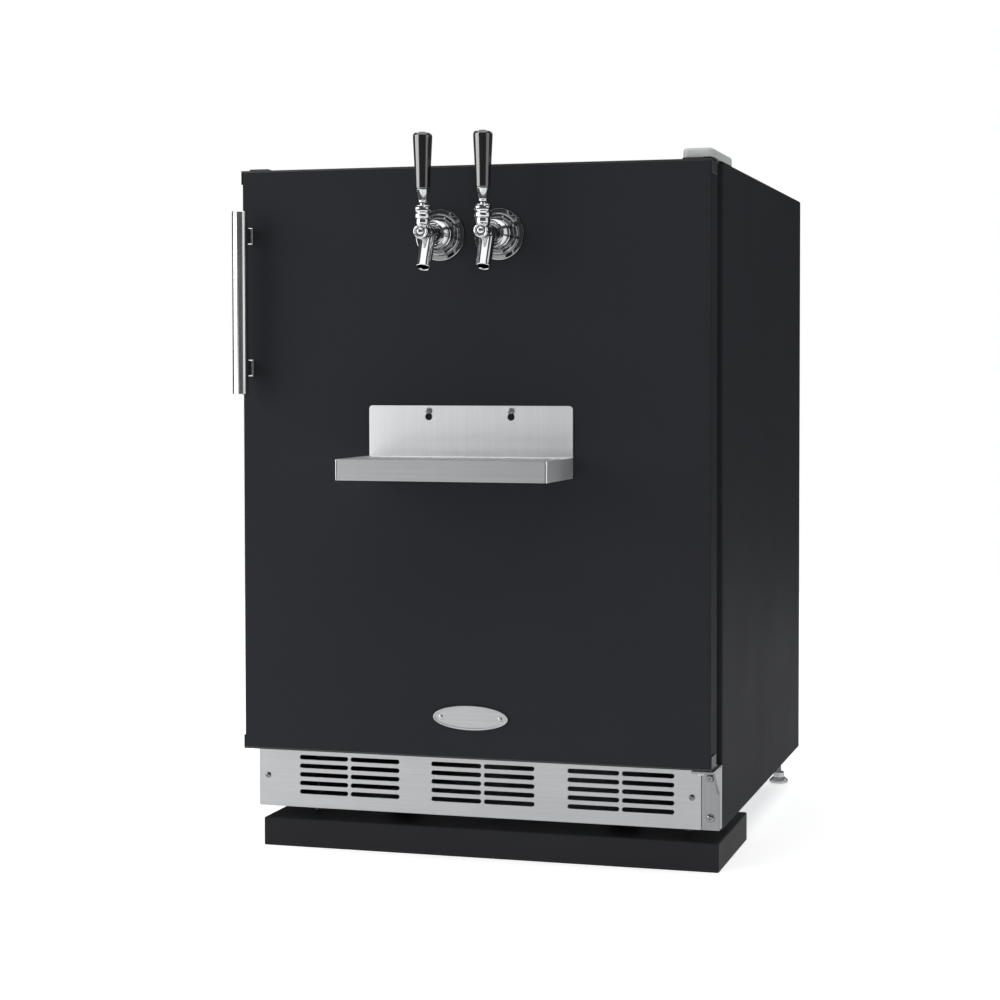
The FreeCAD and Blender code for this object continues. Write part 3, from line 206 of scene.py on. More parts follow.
def foam_stuff(name):
    """Blown insulation foam, seen only where a skin stops short."""
    t = Tree(name, Metallic=0.0)
    bubbles = t.cells(650.0).outputs["Distance"]
    tone = t.colours(t.noise(30.0, detail=5.0), [(0.3, (0.62, 0.50, 0.26)), (0.7, (0.80, 0.71, 0.45))])
    return t.wire(Base_Color=tone, Roughness=t.ranged(bubbles, 0.7, 0.9, (0.0, 0.4)),
                  Normal=t.bump(bubbles, 0.0004, 0.8))


def clear_lens(name):
    """Ribbed, slightly milky lamp lens."""
    t = Tree(name, Metallic=0.0, Transmission_Weight=0.7, IOR=1.49)
    ribs = t.node("ShaderNodeTexWave", Vector=t.coords, Scale=160.0, Distortion=0.0).outputs["Fac"]
    tone = t.colours(t.noise(40.0), [(0.3, grey(0.78, 0.01)), (0.7, grey(0.9, 0.01))])
    return t.wire(Base_Color=tone, Roughness=t.ranged(ribs, 0.12, 0.28, (0.0, 1.0)),
                  Normal=t.bump(ribs, 0.0004, 0.6))


MATERIALS = {
    "black_paint": powder_coat("black_paint", (0.0228, 0.0236, 0.0272), (0.0244, 0.0252, 0.0290),
                               0.52, 0.01),
    "black_steel": powder_coat("black_steel", (0.0195, 0.0200, 0.0222), (0.0225, 0.0230, 0.0255),
                               0.50, 0.04),
    "galvanised": galvanised("galvanised"),
    "stainless": brushed("stainless", grey(0.35, 0.018), grey(0.44, 0.018), 0.33, "x"),
    "stainless_upright": brushed("stainless_upright", grey(0.66, 0.01), grey(0.74, 0.01), 0.34, "z"),
    # stainless_painted_light: a much brighter copy of the stainless for the tray sides, grid plate and
    # kickplate returns; the extra brightness is painted light
    "stainless_painted_light": brushed("stainless_painted_light", grey(0.80, 0.018), grey(0.88, 0.018), 0.54, "y"),
    "handle_steel": brushed("handle_steel", grey(0.66, 0.012), grey(0.78, 0.012), 0.17, "z", 0.00001),
    "chrome": polished("chrome", grey(0.56, 0.02), grey(0.62, 0.02), 0.05),
    # chrome_painted_shade: a darker copy of the chrome for the escutcheons; the darkness is painted shade
    # standing in for dark reflections
    "chrome_painted_shade": polished("chrome_painted_shade", grey(0.25, 0.03), grey(0.31, 0.03), 0.06),
    # bracket_steel_painted_shade: a darker copy of the stainless for the hinge bracket; the darkness is
    # painted shade
    "bracket_steel_painted_shade": brushed("bracket_steel_painted_shade", grey(0.24, 0.02), grey(0.31, 0.02), 0.36, "z"),
    # screw_steel_painted_shade: a darker copy of the fastener steel for the screw heads; the darkness is
    # painted shade for their dark outlines
    "screw_steel_painted_shade": polished("screw_steel_painted_shade", grey(0.20, 0.01), grey(0.27, 0.01), 0.12),
    "fastener_steel": polished("fastener_steel", grey(0.40, 0.01), grey(0.50, 0.01), 0.20),
    "white_plastic": moulded("white_plastic", (0.66, 0.675, 0.665), (0.74, 0.75, 0.735), 0.36),
    "foam": foam_stuff("foam"),
    "black_plastic": moulded("black_plastic", grey(0.010, 0.05), grey(0.016, 0.05), 0.46),
    "grey_plastic": moulded("grey_plastic", (0.42, 0.45, 0.43), (0.52, 0.55, 0.53), 0.42),
    "gloss_black": moulded("gloss_black", grey(0.0035), grey(0.006), 0.16, 900.0, 0.000006, 1.0),
    "nylon": moulded("nylon", grey(0.60, -0.03), grey(0.70, -0.03), 0.40),
    "rubber": moulded("rubber", grey(0.012), grey(0.022), 0.66, 2200.0, 0.00008),
    "gasket_grey": moulded("gasket_grey", grey(0.018), grey(0.030), 0.58, 2200.0, 0.00005),
    "machine_black": powder_coat("machine_black", (0.010, 0.010, 0.011), (0.020, 0.020, 0.021), 0.30, 0.4),
    "copper": copper("copper"),
    "lens": clear_lens("lens"),
}


# ---------------------------------------------------------------- outlines: functions of an outward offset
def arc(cx, cy, radius, start, end, count):
    """Points of an arc, in degrees, both ends included."""
    angles = [math.radians(start + (end - start) * k / count) for k in range(count + 1)]
    return [(cx + radius * math.cos(a), cy + radius * math.sin(a)) for a in angles]


def rounded(cx, cy, half_x, half_y, radius, count=5):
    """Closed rectangle with round corners."""
    def outline(offset):
        hx, hy = half_x + offset, half_y + offset
        r = min(max(radius + offset, 0.02 * MM), hx, hy)
        points = []
        for sx, sy, start in ((1, 1, 0), (-1, 1, 90), (-1, -1, 180), (1, -1, 270)):
            points += arc(cx + sx * (hx - r), cy + sy * (hy - r), r, start, start + 90, count)
        return points
    return outline


def circle(cx, cy, radius, count=48):
    return lambda offset: arc(cx, cy, radius + offset, 0, 360 * (count - 1) / count, count - 1)


def ellipse(cx, cy, half_x, half_y, count=72):
    def outline(offset):
        return [(cx + (half_x + offset) * math.cos(TAU * k / count),
                 cy + (half_y + offset) * math.sin(TAU * k / count)) for k in range(count)]
    return outline


def keyhole(cx, low, high, big, small, count=8):
    """Big round hole at the bottom, with a narrow slot rising from it."""
    def outline(offset):
        r, s = big + offset, small + offset
        turn = math.degrees(math.asin(s / r))
        return (arc(cx, low, r, 90 + turn, 450 - turn, 3 * count) + arc(cx, high, s, 0, 180, count))
    return outline


def cross(cx, cy, arm, half):
    """Plus sign of two bars, as a closed row of points."""
    corner = ((arm, -half), (arm, half), (half, half))
    turns = ((1, 0), (0, 1), (-1, 0), (0, -1))
    return [(cx + c * u - s * v, cy + s * u + c * v) for c, s in turns for u, v in corner]


def open_hood(half_x, bottom, top, radius, count=6):
    """Three sides of a rectangle, open at the bottom, its two top corners round."""
    def outline(offset):
        hx, high = half_x + offset, top + offset
        r = max(radius + offset, 0.3 * MM)
        return ([(-hx, bottom)] + arc(-hx + r, high - r, r, 180, 90, count)
                + arc(hx - r, high - r, r, 90, 0, count) + [(hx, bottom)])
    return outline


# ---------------------------------------------------------------- planes: how (u, v, depth) lies in space
def facing_front(y):
    """u to the right, v up, depth away from the viewer."""
    return lambda u, v, w: Vector((u, y + w, v))


def facing_up(z):
    """u to the right, v away from the viewer, depth downwards."""
    return lambda u, v, w: Vector((u, v, z - w))


def facing_right(x):
    """u away from the viewer, v up, depth to the left."""
    return lambda u, v, w: Vector((x - w, u, v))


# ---------------------------------------------------------------- mesh code
def quarter(edge, steps=3):
    """(inset, depth) places round a rounded edge, from the face to the side."""
    angles = [math.radians(90 * k / steps) for k in range(steps + 1)]
    return [(edge * (1 - math.sin(a)), edge * (1 - math.cos(a))) for a in angles]


def ring_of(bm, place, points, depth):
    return [bm.verts.new(place(u, v, depth)) for u, v in points]


def strip(bm, first, second, closed=True):
    """Quads between two rows of vertices."""
    count = len(first)
    for k in range(count if closed else count - 1):
        n = (k + 1) % count
        bm.faces.new((first[k], first[n], second[n], second[k]))


def inside(point, polygon):
    x, y = point
    hit = False
    for (x0, y0), (x1, y1) in zip(polygon, polygon[1:] + polygon[:1]):
        if (y0 > y) != (y1 > y) and x < (x1 - x0) * (y - y0) / (y1 - y0) + x0:
            hit = not hit
    return hit


def fill(bm, outer, holes, outer_points, hole_points):
    """Flat face between an outer ring of vertices and rings round its holes."""
    verts, points, edges = list(outer), list(outer_points), []
    spans = [(0, len(outer))]
    for ring, places in zip(holes, hole_points):
        spans.append((len(verts), len(verts) + len(ring)))
        verts += ring
        points += places
    for start, end in spans:
        edges += [(k, k + 1 if k + 1 < end else start) for k in range(start, end)]
    flat = [Vector(point) for point in points]
    made, _, triangles, origins, _, _ = delaunay_2d_cdt(flat, edges, [], 0, 1e-9)
    for triangle in triangles:
        middle = sum((made[k] for k in triangle), Vector((0, 0))) / 3
        if not inside(middle, outer_points) or any(inside(middle, hole) for hole in hole_points):
            continue
        corners = [verts[origins[k][0]] for k in triangle]
        if len(set(corners)) == 3 and bm.faces.get(corners) is None:
            bm.faces.new(corners)


def plate(bm, place, outer, holes=(), thick=SHEET, edge=0.3 * MM, steps=3):
    """Flat plate with rounded edges outside and round each hole."""
    front = quarter(edge, steps)
    places = front + [(inset, thick - depth) for inset, depth in reversed(front)]
    rims = []
    for outline, sign in [(outer, -1)] + [(hole, 1) for hole in holes]:
        rings = [ring_of(bm, place, outline(sign * inset), depth) for inset, depth in places]
        for first, second in zip(rings, rings[1:]):
            strip(bm, first, second)
        rims.append((rings[0], rings[-1], outline(sign * edge)))
    for side in (0, 1):
        fill(bm, rims[0][side], [rim[side] for rim in rims[1:]],
             rims[0][2], [rim[2] for rim in rims[1:]])


def sweep(bm, place, outline, steps):
    """Closed body through a closed outline at a list of (offset, depth) steps, capped at both ends."""
    rings = [ring_of(bm, place, outline(offset), depth) for offset, depth in steps]
    for first, second in zip(rings, rings[1:]):
        strip(bm, first, second)
    for ring, (offset, _) in ((rings[0], steps[0]), (rings[-1], steps[-1])):
        fill(bm, ring, [], outline(offset), [])


def open_sweep(bm, place, outline, steps):
    """Sheet of a closed section, given as (offset, depth) steps, run along an open outline."""
    rings = [ring_of(bm, place, outline(offset), depth) for offset, depth in steps]
    for first, second in zip(rings, rings[1:] + rings[:1]):
        strip(bm, first, second, closed=False)
    for end in (0, -1):
        bm.faces.new([ring[end] for ring in rings])


def folded(bm, place, path, thick, bend, start, end, steps=4):
    """Sheet folded along a path of (u, v) points and running from depth start to end."""
    middle = []
    for index, (x, y) in enumerate(path):
        here = Vector((x, y))
        if index in (0, len(path) - 1):
            middle.append((here, None))
            continue
        back = (Vector(path[index - 1]) - here).normalized()
        ahead = (Vector(path[index + 1]) - here).normalized()
        half = back.angle(ahead) / 2
        reach = bend / math.tan(half)
        centre = here + (back + ahead).normalized() * (bend / math.sin(half))
        first, last = here + back * reach - centre, here + ahead * reach - centre
        for k in range(steps + 1):
            spoke = first.slerp(last, k / steps).normalized() * bend
            middle.append((centre + spoke, spoke.normalized()))
    sides = []
    for index, (point, _) in enumerate(middle):
        before = middle[max(index - 1, 0)][0]
        after = middle[min(index + 1, len(middle) - 1)][0]
        run = (after - before).normalized()
        sides.append((point, Vector((-run.y, run.x)) * thick / 2))
    section = [p + n for p, n in sides] + [p - n for p, n in reversed(sides)]
    rows = [[bm.verts.new(place(p.x, p.y, depth)) for p in section] for depth in (start, end)]
    strip(bm, rows[0], rows[1])
    count = len(sides)
    for row in rows:
        for k in range(count - 1):
            bm.faces.new((row[k], row[k + 1], row[-2 - k], row[-1 - k]))


def soften(profile, radius, steps=4):
    """A profile of (radius, height) points with its inner corners rounded."""
    nearly_straight, share = math.radians(86), 0.45
    out = [profile[0]]
    for before, here, after in zip(profile, profile[1:], profile[2:]):
        h = Vector(here)
        back, ahead = Vector(before) - h, Vector(after) - h
        if back.length < 1e-9 or ahead.length < 1e-9:
            out.append(here)
            continue
        half = back.angle(ahead) / 2
        if half > nearly_straight:
            out.append(here)
            continue
        reach = min(radius / math.tan(half), back.length * share, ahead.length * share)
        first, last = h + back.normalized() * reach, h + ahead.normalized() * reach
        for k in range(steps + 1):
            t = k / steps
            point = first * (1 - t) ** 2 + h * 2 * t * (1 - t) + last * t ** 2
            out.append((point.x, point.y))
    out.append(profile[-1])
    return out


def lathe(bm, profile, centre, direction, count=64, rounding=0.3):
    """Surface of revolution from (radius, height) points in millimetres."""
    axis = Vector(direction).normalized()
    side = axis.orthogonal().normalized()
    other = axis.cross(side)
    centre = Vector(centre)
    rings = []
    for radius, height in soften(profile, rounding) if rounding else profile:
        base = centre + axis * height * MM
        if radius < 1e-6:
            rings.append([bm.verts.new(base)])
            continue
        rings.append([bm.verts.new(base + (side * math.cos(TAU * k / count)
                                           + other * math.sin(TAU * k / count)) * radius * MM)
                      for k in range(count)])
    for first, second in zip(rings, rings[1:]):
        if len(first) == len(second) == 1:
            continue
        if len(first) == 1 or len(second) == 1:
            tip, ring = (first[0], second) if len(first) == 1 else (second[0], first)
            for k in range(count):
                bm.faces.new((tip, ring[k], ring[(k + 1) % count]))
        else:
            strip(bm, first, second)


def block(bm, low, high, radius, steps=3):
    """Box with every edge rounded."""
    made = bmesh.ops.create_cube(bm, size=1.0)["verts"]
    low, high = Vector(low), Vector(high)
    for vert in made:
        vert.co = Vector([low[k] if vert.co[k] < 0 else high[k] for k in range(3)])
    edges = {edge for vert in made for edge in vert.link_edges}
    bmesh.ops.bevel(bm, geom=list(edges), offset=radius, offset_type="OFFSET", segments=steps,
                    profile=0.5, affect="EDGES", clamp_overlap=True)


def piece(name, bm, material, body, replaced=(), angle=35.0):
    """Turns mesh data into a finished piece that rides on a body."""
    bmesh.ops.remove_doubles(bm, verts=bm.verts, dist=1e-7)
    bmesh.ops.recalc_face_normals(bm, faces=bm.faces)
    mesh = bpy.data.meshes.new(name)
    bm.to_mesh(mesh)
    bm.free()
    obj = bpy.data.objects.new(name, mesh)
    bpy.context.scene.collection.objects.link(obj)
    mesh.materials.append(MATERIALS[material])
    mesh.shade_smooth()
    mesh.set_sharp_from_angle(angle=math.radians(angle))
    obj.modifiers.new("weighted", "WEIGHTED_NORMAL").keep_sharp = True
    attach(obj, body)
    if replaced:
        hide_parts(*replaced)
    return obj


def clusters(node, gap=14 * MM):
    """Box of each separate solid in a frame node whose solids run front to back."""
    boxes = []
    for vert in frame["nodes"][node].data.vertices:
        point = vert.co
        near = [box for box in boxes if math.hypot(box[0].x - point.x, box[0].z - point.z) < gap]
        if not near:
            boxes.append([point.copy(), point.copy()])
            continue
        for k in range(3):
            near[0][0][k] = min(near[0][0][k], point[k])
            near[0][1][k] = max(near[0][1][k], point[k])
    return boxes


def cross_head(bm, x, y, z, radius, tall):
    """Domed screw head with a cross recess, standing out from the plane at y."""
    place, sides = facing_front(y), 36
    dome = [(1.0, 0.0), (1.0, 0.16), (0.94, 0.5), (0.82, 0.76), (0.64, 0.93), (0.5, 1.0)]
    rings = [ring_of(bm, place, circle(x, z, radius * wide, sides)(0), -tall * out) for wide, out in dome]
    for first, second in zip(rings, rings[1:]):
        strip(bm, first, second)
    bm.faces.new(rings[0])
    mouth_arm, mouth_half, floor_arm, floor_half, floor_out = 0.44, 0.11, 0.30, 0.07, 0.3
    mouth = cross(x, z, mouth_arm * radius, mouth_half * radius)
    floor_points = cross(x, z, floor_arm * radius, floor_half * radius)
    rim, bottom = ring_of(bm, place, mouth, -tall), ring_of(bm, place, floor_points, -tall * floor_out)
    fill(bm, rings[-1], [rim], circle(x, z, radius * dome[-1][0], sides)(0), [mouth])
    strip(bm, rim, bottom)
    bm.faces.new(bottom)


def screws(name, node, body, widen, tall):
    """Cross-recess screws at the places of a frame node's solids."""
    shank = 1.9
    bm = bmesh.new()
    for low, high in clusters(node):
        x, z, radius = (low.x + high.x) / 2, (low.z + high.z) / 2, (high.x - low.x) / 2
        neck = low.y + tall
        cross_head(bm, x, neck, z, radius * widen, tall)
        deep = (high.y - neck) / MM
        lathe(bm, [(0, 0), (shank, 0), (shank, deep), (0, deep)], (x, neck, z), BACKWARD, 24, 0)
    piece(name, bm, "screw_steel_painted_shade", body, [node], 40)


def at_taps(name, body, build, material, replaced):
    """One object that holds the same shape at the left and the right tap."""
    bm = bmesh.new()
    for x in TAP_XS:
        build(bm, x)
    return piece(name, bm, material, body, replaced)


# ---------------------------------------------------------------- places read from the frame
SKIN = BOX["door_skin"]
DOOR = (BOX["door_bottom_cap"][0], BOX["door_top_cap"][1])
FRONT = SKIN[0].y
CABINET = BOX["cabinet_shell"]
KICK = BOX["kickplate"]
TRAY = BOX["drip_tray"]
GRID = BOX["drip_grid"]
TOE = BOX["toe_kick"]
BAR = BOX["handle_bar"]
TAP_XS = [sum(BOX["tap_handle_" + side][k].x for k in (0, 1)) / 2 for side in ("left", "right")]
TAP_Z = (BOX["tap_flanges"][0].z + BOX["tap_flanges"][1].z) / 2
LEVER_Y = (BOX["tap_handle_left"][0].y + BOX["tap_handle_left"][1].y) / 2
PIVOT_RISE = 23 * MM
PIVOT_Z = TAP_Z + PIVOT_RISE
FORWARD, BACKWARD, UP = (0, -1, 0), (0, 1, 0), (0, 0, 1)


# ---------------------------------------------------------------- cabinet and door
def cabinet_shell():
    """Wrapped sheet: sides, top with round shoulders, and the land that the gasket seals on."""
    low, high = CABINET
    bend, land, deep, turn = 2.0 * MM, 34 * MM, high.y - low.y, SHEET * 0.7
    outer = [(-bend * (1 - math.sin(a)), bend * (1 - math.cos(a)))
             for a in (math.radians(15 * k) for k in range(7))]
    inner = [(offset - turn, depth + turn) for offset, depth in outer]
    steps = [(0, deep)] + outer[::-1] + [(-land, 0), (-land, SHEET)] + inner + [(-SHEET, deep)]
    bm = bmesh.new()
    open_sweep(bm, facing_front(low.y), open_hood(high.x, low.z, high.z, 3 * MM), steps)
    piece("cabinet_wrap", bm, "black_paint", "cabinet", ["cabinet_shell"], angle=40)


def door_panel():
    """Door skin folded back along both sides."""
    low, high = SKIN
    half, y, deep = high.x - SHEET / 2, low.y + SHEET / 2, high.y
    bm = bmesh.new()
    folded(bm, lambda u, v, w: Vector((u, v, w)), [(-half, deep), (-half, y), (half, y), (half, deep)],
           SHEET, 1.6 * MM, low.z, high.z, 6)
    piece("door_panel", bm, "black_paint", "door", ["door_skin"], angle=40)


def door_cap(name, node, plate_low, plate_high, clip_low, clip_high, humps):
    """Moulded end cap with soft edges, its two corner clips and any humps on top."""
    low, high = BOX[node]
    clip_thick, clip_deep, hump_half, hump_deep = 1.5 * MM, 26 * MM, 13 * MM, 12 * MM
    bm = bmesh.new()
    block(bm, (low.x, low.y, plate_low), (high.x, high.y, plate_high), 0.8 * MM)
    for x0, x1 in ((low.x, low.x + clip_thick), (high.x - clip_thick, high.x)):
        block(bm, (x0, low.y, clip_low), (x1, low.y + clip_deep, clip_high), 0.6 * MM)
    for x in humps:
        block(bm, (x - hump_half, low.y, plate_low + 0.5 * MM),
              (x + hump_half, low.y + hump_deep, high.z), 1.6 * MM, 4)
    piece(name, bm, "black_plastic", "door", [node])


def end_caps():
    """Top cap with a hump near each end, and a plain bottom cap."""
    thick, clip, hump_in, hump_tall = 3 * MM, 17 * MM, 24 * MM, 1.8 * MM
    top, bottom = DOOR[1].z - hump_tall, DOOR[0].z
    door_cap("door_cap_top", "door_top_cap", top - thick, top, top - clip, top,
             (DOOR[0].x + hump_in, DOOR[1].x - hump_in))
    door_cap("door_cap_bottom", "door_bottom_cap", bottom, bottom + thick, bottom, bottom + clip, ())


def pull_handle():
    """Satin bar with turned ends on two flat posts."""
    low, high = BAR
    x, y = (low.x + high.x) / 2, (low.y + high.y) / 2
    radius, length = (high.x - low.x) / 2 / MM, (high.z - low.z) / MM
    bm = bmesh.new()
    profile = [(0, 0.15), (radius - 1.6, 0), (radius - 0.7, 0.15), (radius, 0.9), (radius, length - 0.9),
               (radius - 0.7, length - 0.15), (radius - 1.6, length), (0, length - 0.15)]
    lathe(bm, profile, (x, y, low.z), UP, 96, 0.25)
    piece("pull_bar", bm, "handle_steel", "door", ["handle_bar"], angle=30)
    posts = BOX["handle_posts"]
    half_tall, foot = 9.2 * MM, 1.2 * MM
    bm = bmesh.new()
    for z in (posts[0].z + half_tall, posts[1].z - half_tall):
        block(bm, (posts[0].x, y + 0.4 * radius * MM, z - half_tall), (posts[1].x, FRONT, z + half_tall),
              0.9 * MM)
        block(bm, (posts[0].x - foot, FRONT - foot, z - half_tall - foot),
              (posts[1].x + foot, FRONT, z + half_tall + foot), 0.5 * MM)
    piece("pull_posts", bm, "handle_steel", "door", ["handle_posts"])


def badge():
    """Plain oval plate: raised rim, satin field."""
    low, high = BOX["badge_plate"]
    outline = ellipse((low.x + high.x) / 2, (low.z + high.z) / 2, (high.x - low.x) / 2,
                      (high.z - low.z) / 2)
    thick = high.y - low.y
    steps = [(-0.3 * MM, thick), (0, thick - 0.2 * MM), (0, 0.5 * MM), (-0.15 * MM, 0.2 * MM),
             (-0.5 * MM, 0), (-2.1 * MM, 0), (-2.4 * MM, 0.15 * MM), (-2.6 * MM, 0.4 * MM),
             (-2.75 * MM, 0.75 * MM), (-3.1 * MM, 0.8 * MM)]
    bm = bmesh.new()
    sweep(bm, facing_front(low.y), outline, steps)
    piece("badge_oval", bm, "stainless", "door", ["badge_plate"])


# ---------------------------------------------------------------- taps
def flange(bm, x):
    """Stepped escutcheon: flat rim, flat step with a rolled shoulder, ring round the collar."""
    profile = [(10, 0), (31.5, 0), (31.5, 1.2), (31.0, 2.0), (30.0, 2.3), (25.8, 2.5), (25.4, 3.2),
               (25.2, 4.6), (24.9, 5.7), (24.1, 6.5), (22.9, 6.8), (20.6, 6.9), (20.2, 7.6), (19.8, 8.3),
               (19.2, 8.5), (18.7, 7.9), (18.5, 7.2), (10, 7.2)]
    lathe(bm, profile, (x, FRONT, TAP_Z), FORWARD, 112, 0.35)


def collar(bm, x):
    """Coupling nut: grooved ring, waist and a turned front edge."""
    profile = [(10, 8.2), (16.4, 8.2), (17.0, 8.8), (17.0, 10.6), (16.5, 11.2), (15.6, 11.7),
               (15.6, 13.0), (16.5, 13.5), (17.0, 14.1), (17.0, 19.2), (16.6, 19.8), (16.2, 20.0),
               (16.2, 20.8), (15.6, 21.4), (14.2, 23.2), (13.3, 24.6), (12.4, 25.0), (10, 25.0)]
    lathe(bm, profile, (x, FRONT, TAP_Z), FORWARD, 96, 0.35)


def barrel(bm, x):
    """Casting: barrel, front cap with its ring and button, bonnet, spout with an open mouth."""
    centre = (x, FRONT, TAP_Z)
    lathe(bm, [(0, 16), (10.9, 16), (10.9, 27.5), (10.5, 30), (9.8, 33), (9.4, 42), (9.4, 55), (9.0, 57),
               (8.4, 58), (8.4, 65.4), (8.6, 66.0), (9.0, 66.8), (9.1, 68.4), (9.1, 71.0), (8.8, 72.2),
               (8.1, 73.0), (7.3, 73.3), (6.5, 73.0), (5.9, 72.2), (5.6, 70.8), (5.2, 70.4), (4.9, 71.2),
               (4.5, 72.6), (3.6, 73.8), (2.2, 74.6), (0, 74.8)], centre, FORWARD, 80, 0.35)
    base = (x, LEVER_Y, TAP_Z)
    lathe(bm, [(0, -9), (4.5, -8.4), (7.0, -6), (7.6, -3), (7.8, 6), (8.2, 9), (8.8, 10.6), (8.8, 14.2),
               (8.5, 14.6), (9.1, 15.2), (9.9, 16.0), (10.4, 17.4), (10.5, 18.8), (10.3, 20.4),
               (9.7, 21.8), (8.9, 22.4), (8.9, 22.8), (9.7, 23.4), (10.3, 24.6), (10.6, 26.4), (10.5, 28.2),
               (10.0, 29.8), (9.0, 30.8), (7.6, 31.1), (7.0, 30.4), (6.75, 26.0), (6.75, 23.5), (5.6, 18.6),
               (3.0, 16.4), (0, 16.4)],
          base, UP, 80, 0.3)
    root_out, mouth_out, mouth_drop = 44 * MM, 62.5 * MM, 42.5 * MM
    start = Vector((x, FRONT - root_out, TAP_Z))
    end = Vector((x, FRONT - mouth_out, TAP_Z - mouth_drop))
    length = (end - start).length / MM
    lathe(bm, [(0, 0), (8.6, 0), (9.6, 3), (9.5, 12), (9.3, length * 0.55), (8.9, length - 3.0),
               (9.0, length - 1.4), (9.0, length - 0.5), (8.6, length), (7.4, length),
               (6.7, length - 0.6), (6.4, length - 2.0), (6.3, length - 26), (0, length - 28)],
          start, end - start, 72, 0.3)


def lever(side, x):
    """Ball, neck and the flared ferrule under the handle."""
    centre = (x, LEVER_Y, PIVOT_Z)
    radius = 6.3
    ball = [(radius * math.cos(a), radius * math.sin(a)) for a in map(math.radians, range(-80, 60, 10))]
    ferrule = [(3.4, 6.4), (3.4, 10.6), (4.4, 11.0), (5.2, 11.6), (5.5, 12.6), (5.3, 13.4), (5.6, 14.2),
               (6.3, 18), (7.3, 23), (8.1, 26.2), (8.2, 27.0), (7.9, 27.4), (0, 27.4)]
    bm = bmesh.new()
    lathe(bm, [(0, -radius)] + ball + ferrule, centre, UP, 72, 0.2)
    piece("lever_" + side, bm, "chrome", "tap_lever_" + side, ["tap_lever_" + side], angle=40)


def grip(side, x):
    """Glossy tapered handle, its foot rolled in and its crown domed."""
    centre = (x, LEVER_Y, PIVOT_Z)
    profile = [(0, 27.5), (7.8, 27.5), (8.6, 27.8), (9.0, 28.6), (9.1, 31), (9.35, 40), (9.75, 52),
               (10.3, 64), (10.9, 76), (11.35, 85), (11.5, 88.6), (11.35, 90.6), (10.8, 92.2),
               (9.8, 93.3), (8.2, 94.1), (5.4, 94.6), (2.6, 94.8), (0, 94.8)]
    bm = bmesh.new()
    lathe(bm, profile, centre, UP, 96, 0.6)
    piece("grip_" + side, bm, "gloss_black", "tap_lever_" + side, ["tap_handle_" + side], angle=60)


def taps():
    at_taps("tap_escutcheons", "door", flange, "chrome_painted_shade", ["tap_flanges"])
    at_taps("tap_couplings", "door", collar, "chrome", ["tap_collars"])
    at_taps("tap_castings", "door", barrel, "chrome", ["tap_bodies"])
    for side, x in zip(("left", "right"), TAP_XS):
        lever(side, x)
        grip(side, x)


# ---------------------------------------------------------------- drip tray
def drip_tray():
    """Back plate with two keyholes, and a pan of folded walls with open corner slits."""
    low, high = TRAY
    sheet, wall, slit, half = 1.2 * MM, 25 * MM, 1.2 * MM, high.x
    back, rim = high.y, low.z + wall
    hole_x, hole_down, slot_down, hole, slot = 52.5 * MM, 13.5 * MM, 6.5 * MM, 4.5 * MM, 2.4 * MM
    bm = bmesh.new()
    holes = [keyhole(side * hole_x, high.z - hole_down, high.z - slot_down, hole, slot)
             for side in (-1, 1)]
    plate(bm, facing_front(back - sheet), rounded(0, (low.z + high.z) / 2, half, (high.z - low.z) / 2,
                                                  4.5 * MM), holes, sheet, 0.3 * MM)
    piece("tray_back_plate", bm, "stainless_upright", "drip_tray", ["drip_tray"])
    middle_y, half_y = (low.y + back - sheet) / 2, (back - sheet - low.y) / 2
    bm = bmesh.new()
    plate(bm, facing_up(low.z + sheet), rounded(0, middle_y, half - 0.6 * MM, half_y - 0.6 * MM, 1 * MM),
          [], sheet, 0.5 * MM)
    plate(bm, facing_front(low.y), rounded(0, low.z + wall / 2, half - sheet - slit, wall / 2, 0.7 * MM),
          [], sheet, 0.45 * MM)
    piece("tray_pan_front", bm, "stainless", "drip_tray")
    bm = bmesh.new()
    for x in (-half + sheet, half):
        plate(bm, facing_right(x), rounded(middle_y, low.z + wall / 2, half_y, wall / 2, 0.7 * MM),
              [], sheet, 0.45 * MM)
    block(bm, (-half, back - 2 * sheet, low.z), (half, back - sheet, rim), 0.3 * MM)
    piece("tray_pan_sides", bm, "stainless_painted_light", "drip_tray")


def drip_grid():
    """Slotted grid plate with skirts in front and behind."""
    low, high = GRID
    sheet, slots, pitch = 1.5 * MM, 20, 12.6 * MM
    slot_half, slot_margin, slot_round = 3.7 * MM, 8 * MM, 3.6 * MM
    y, half_y = (low.y + high.y) / 2, (high.y - low.y) / 2
    holes = [rounded((k - (slots - 1) / 2) * pitch, y, slot_half, half_y - slot_margin, slot_round, 6)
             for k in range(slots)]
    bm = bmesh.new()
    plate(bm, facing_up(high.z), rounded(0, y, high.x, half_y, 1 * MM), holes, sheet, 0.4 * MM)
    for y0 in (low.y, high.y - sheet):
        block(bm, (low.x, y0, low.z), (high.x, y0 + sheet, high.z - sheet * 0.5), 0.4 * MM)
    piece("grid_plate", bm, "stainless_painted_light", "drip_grid", ["drip_grid"])


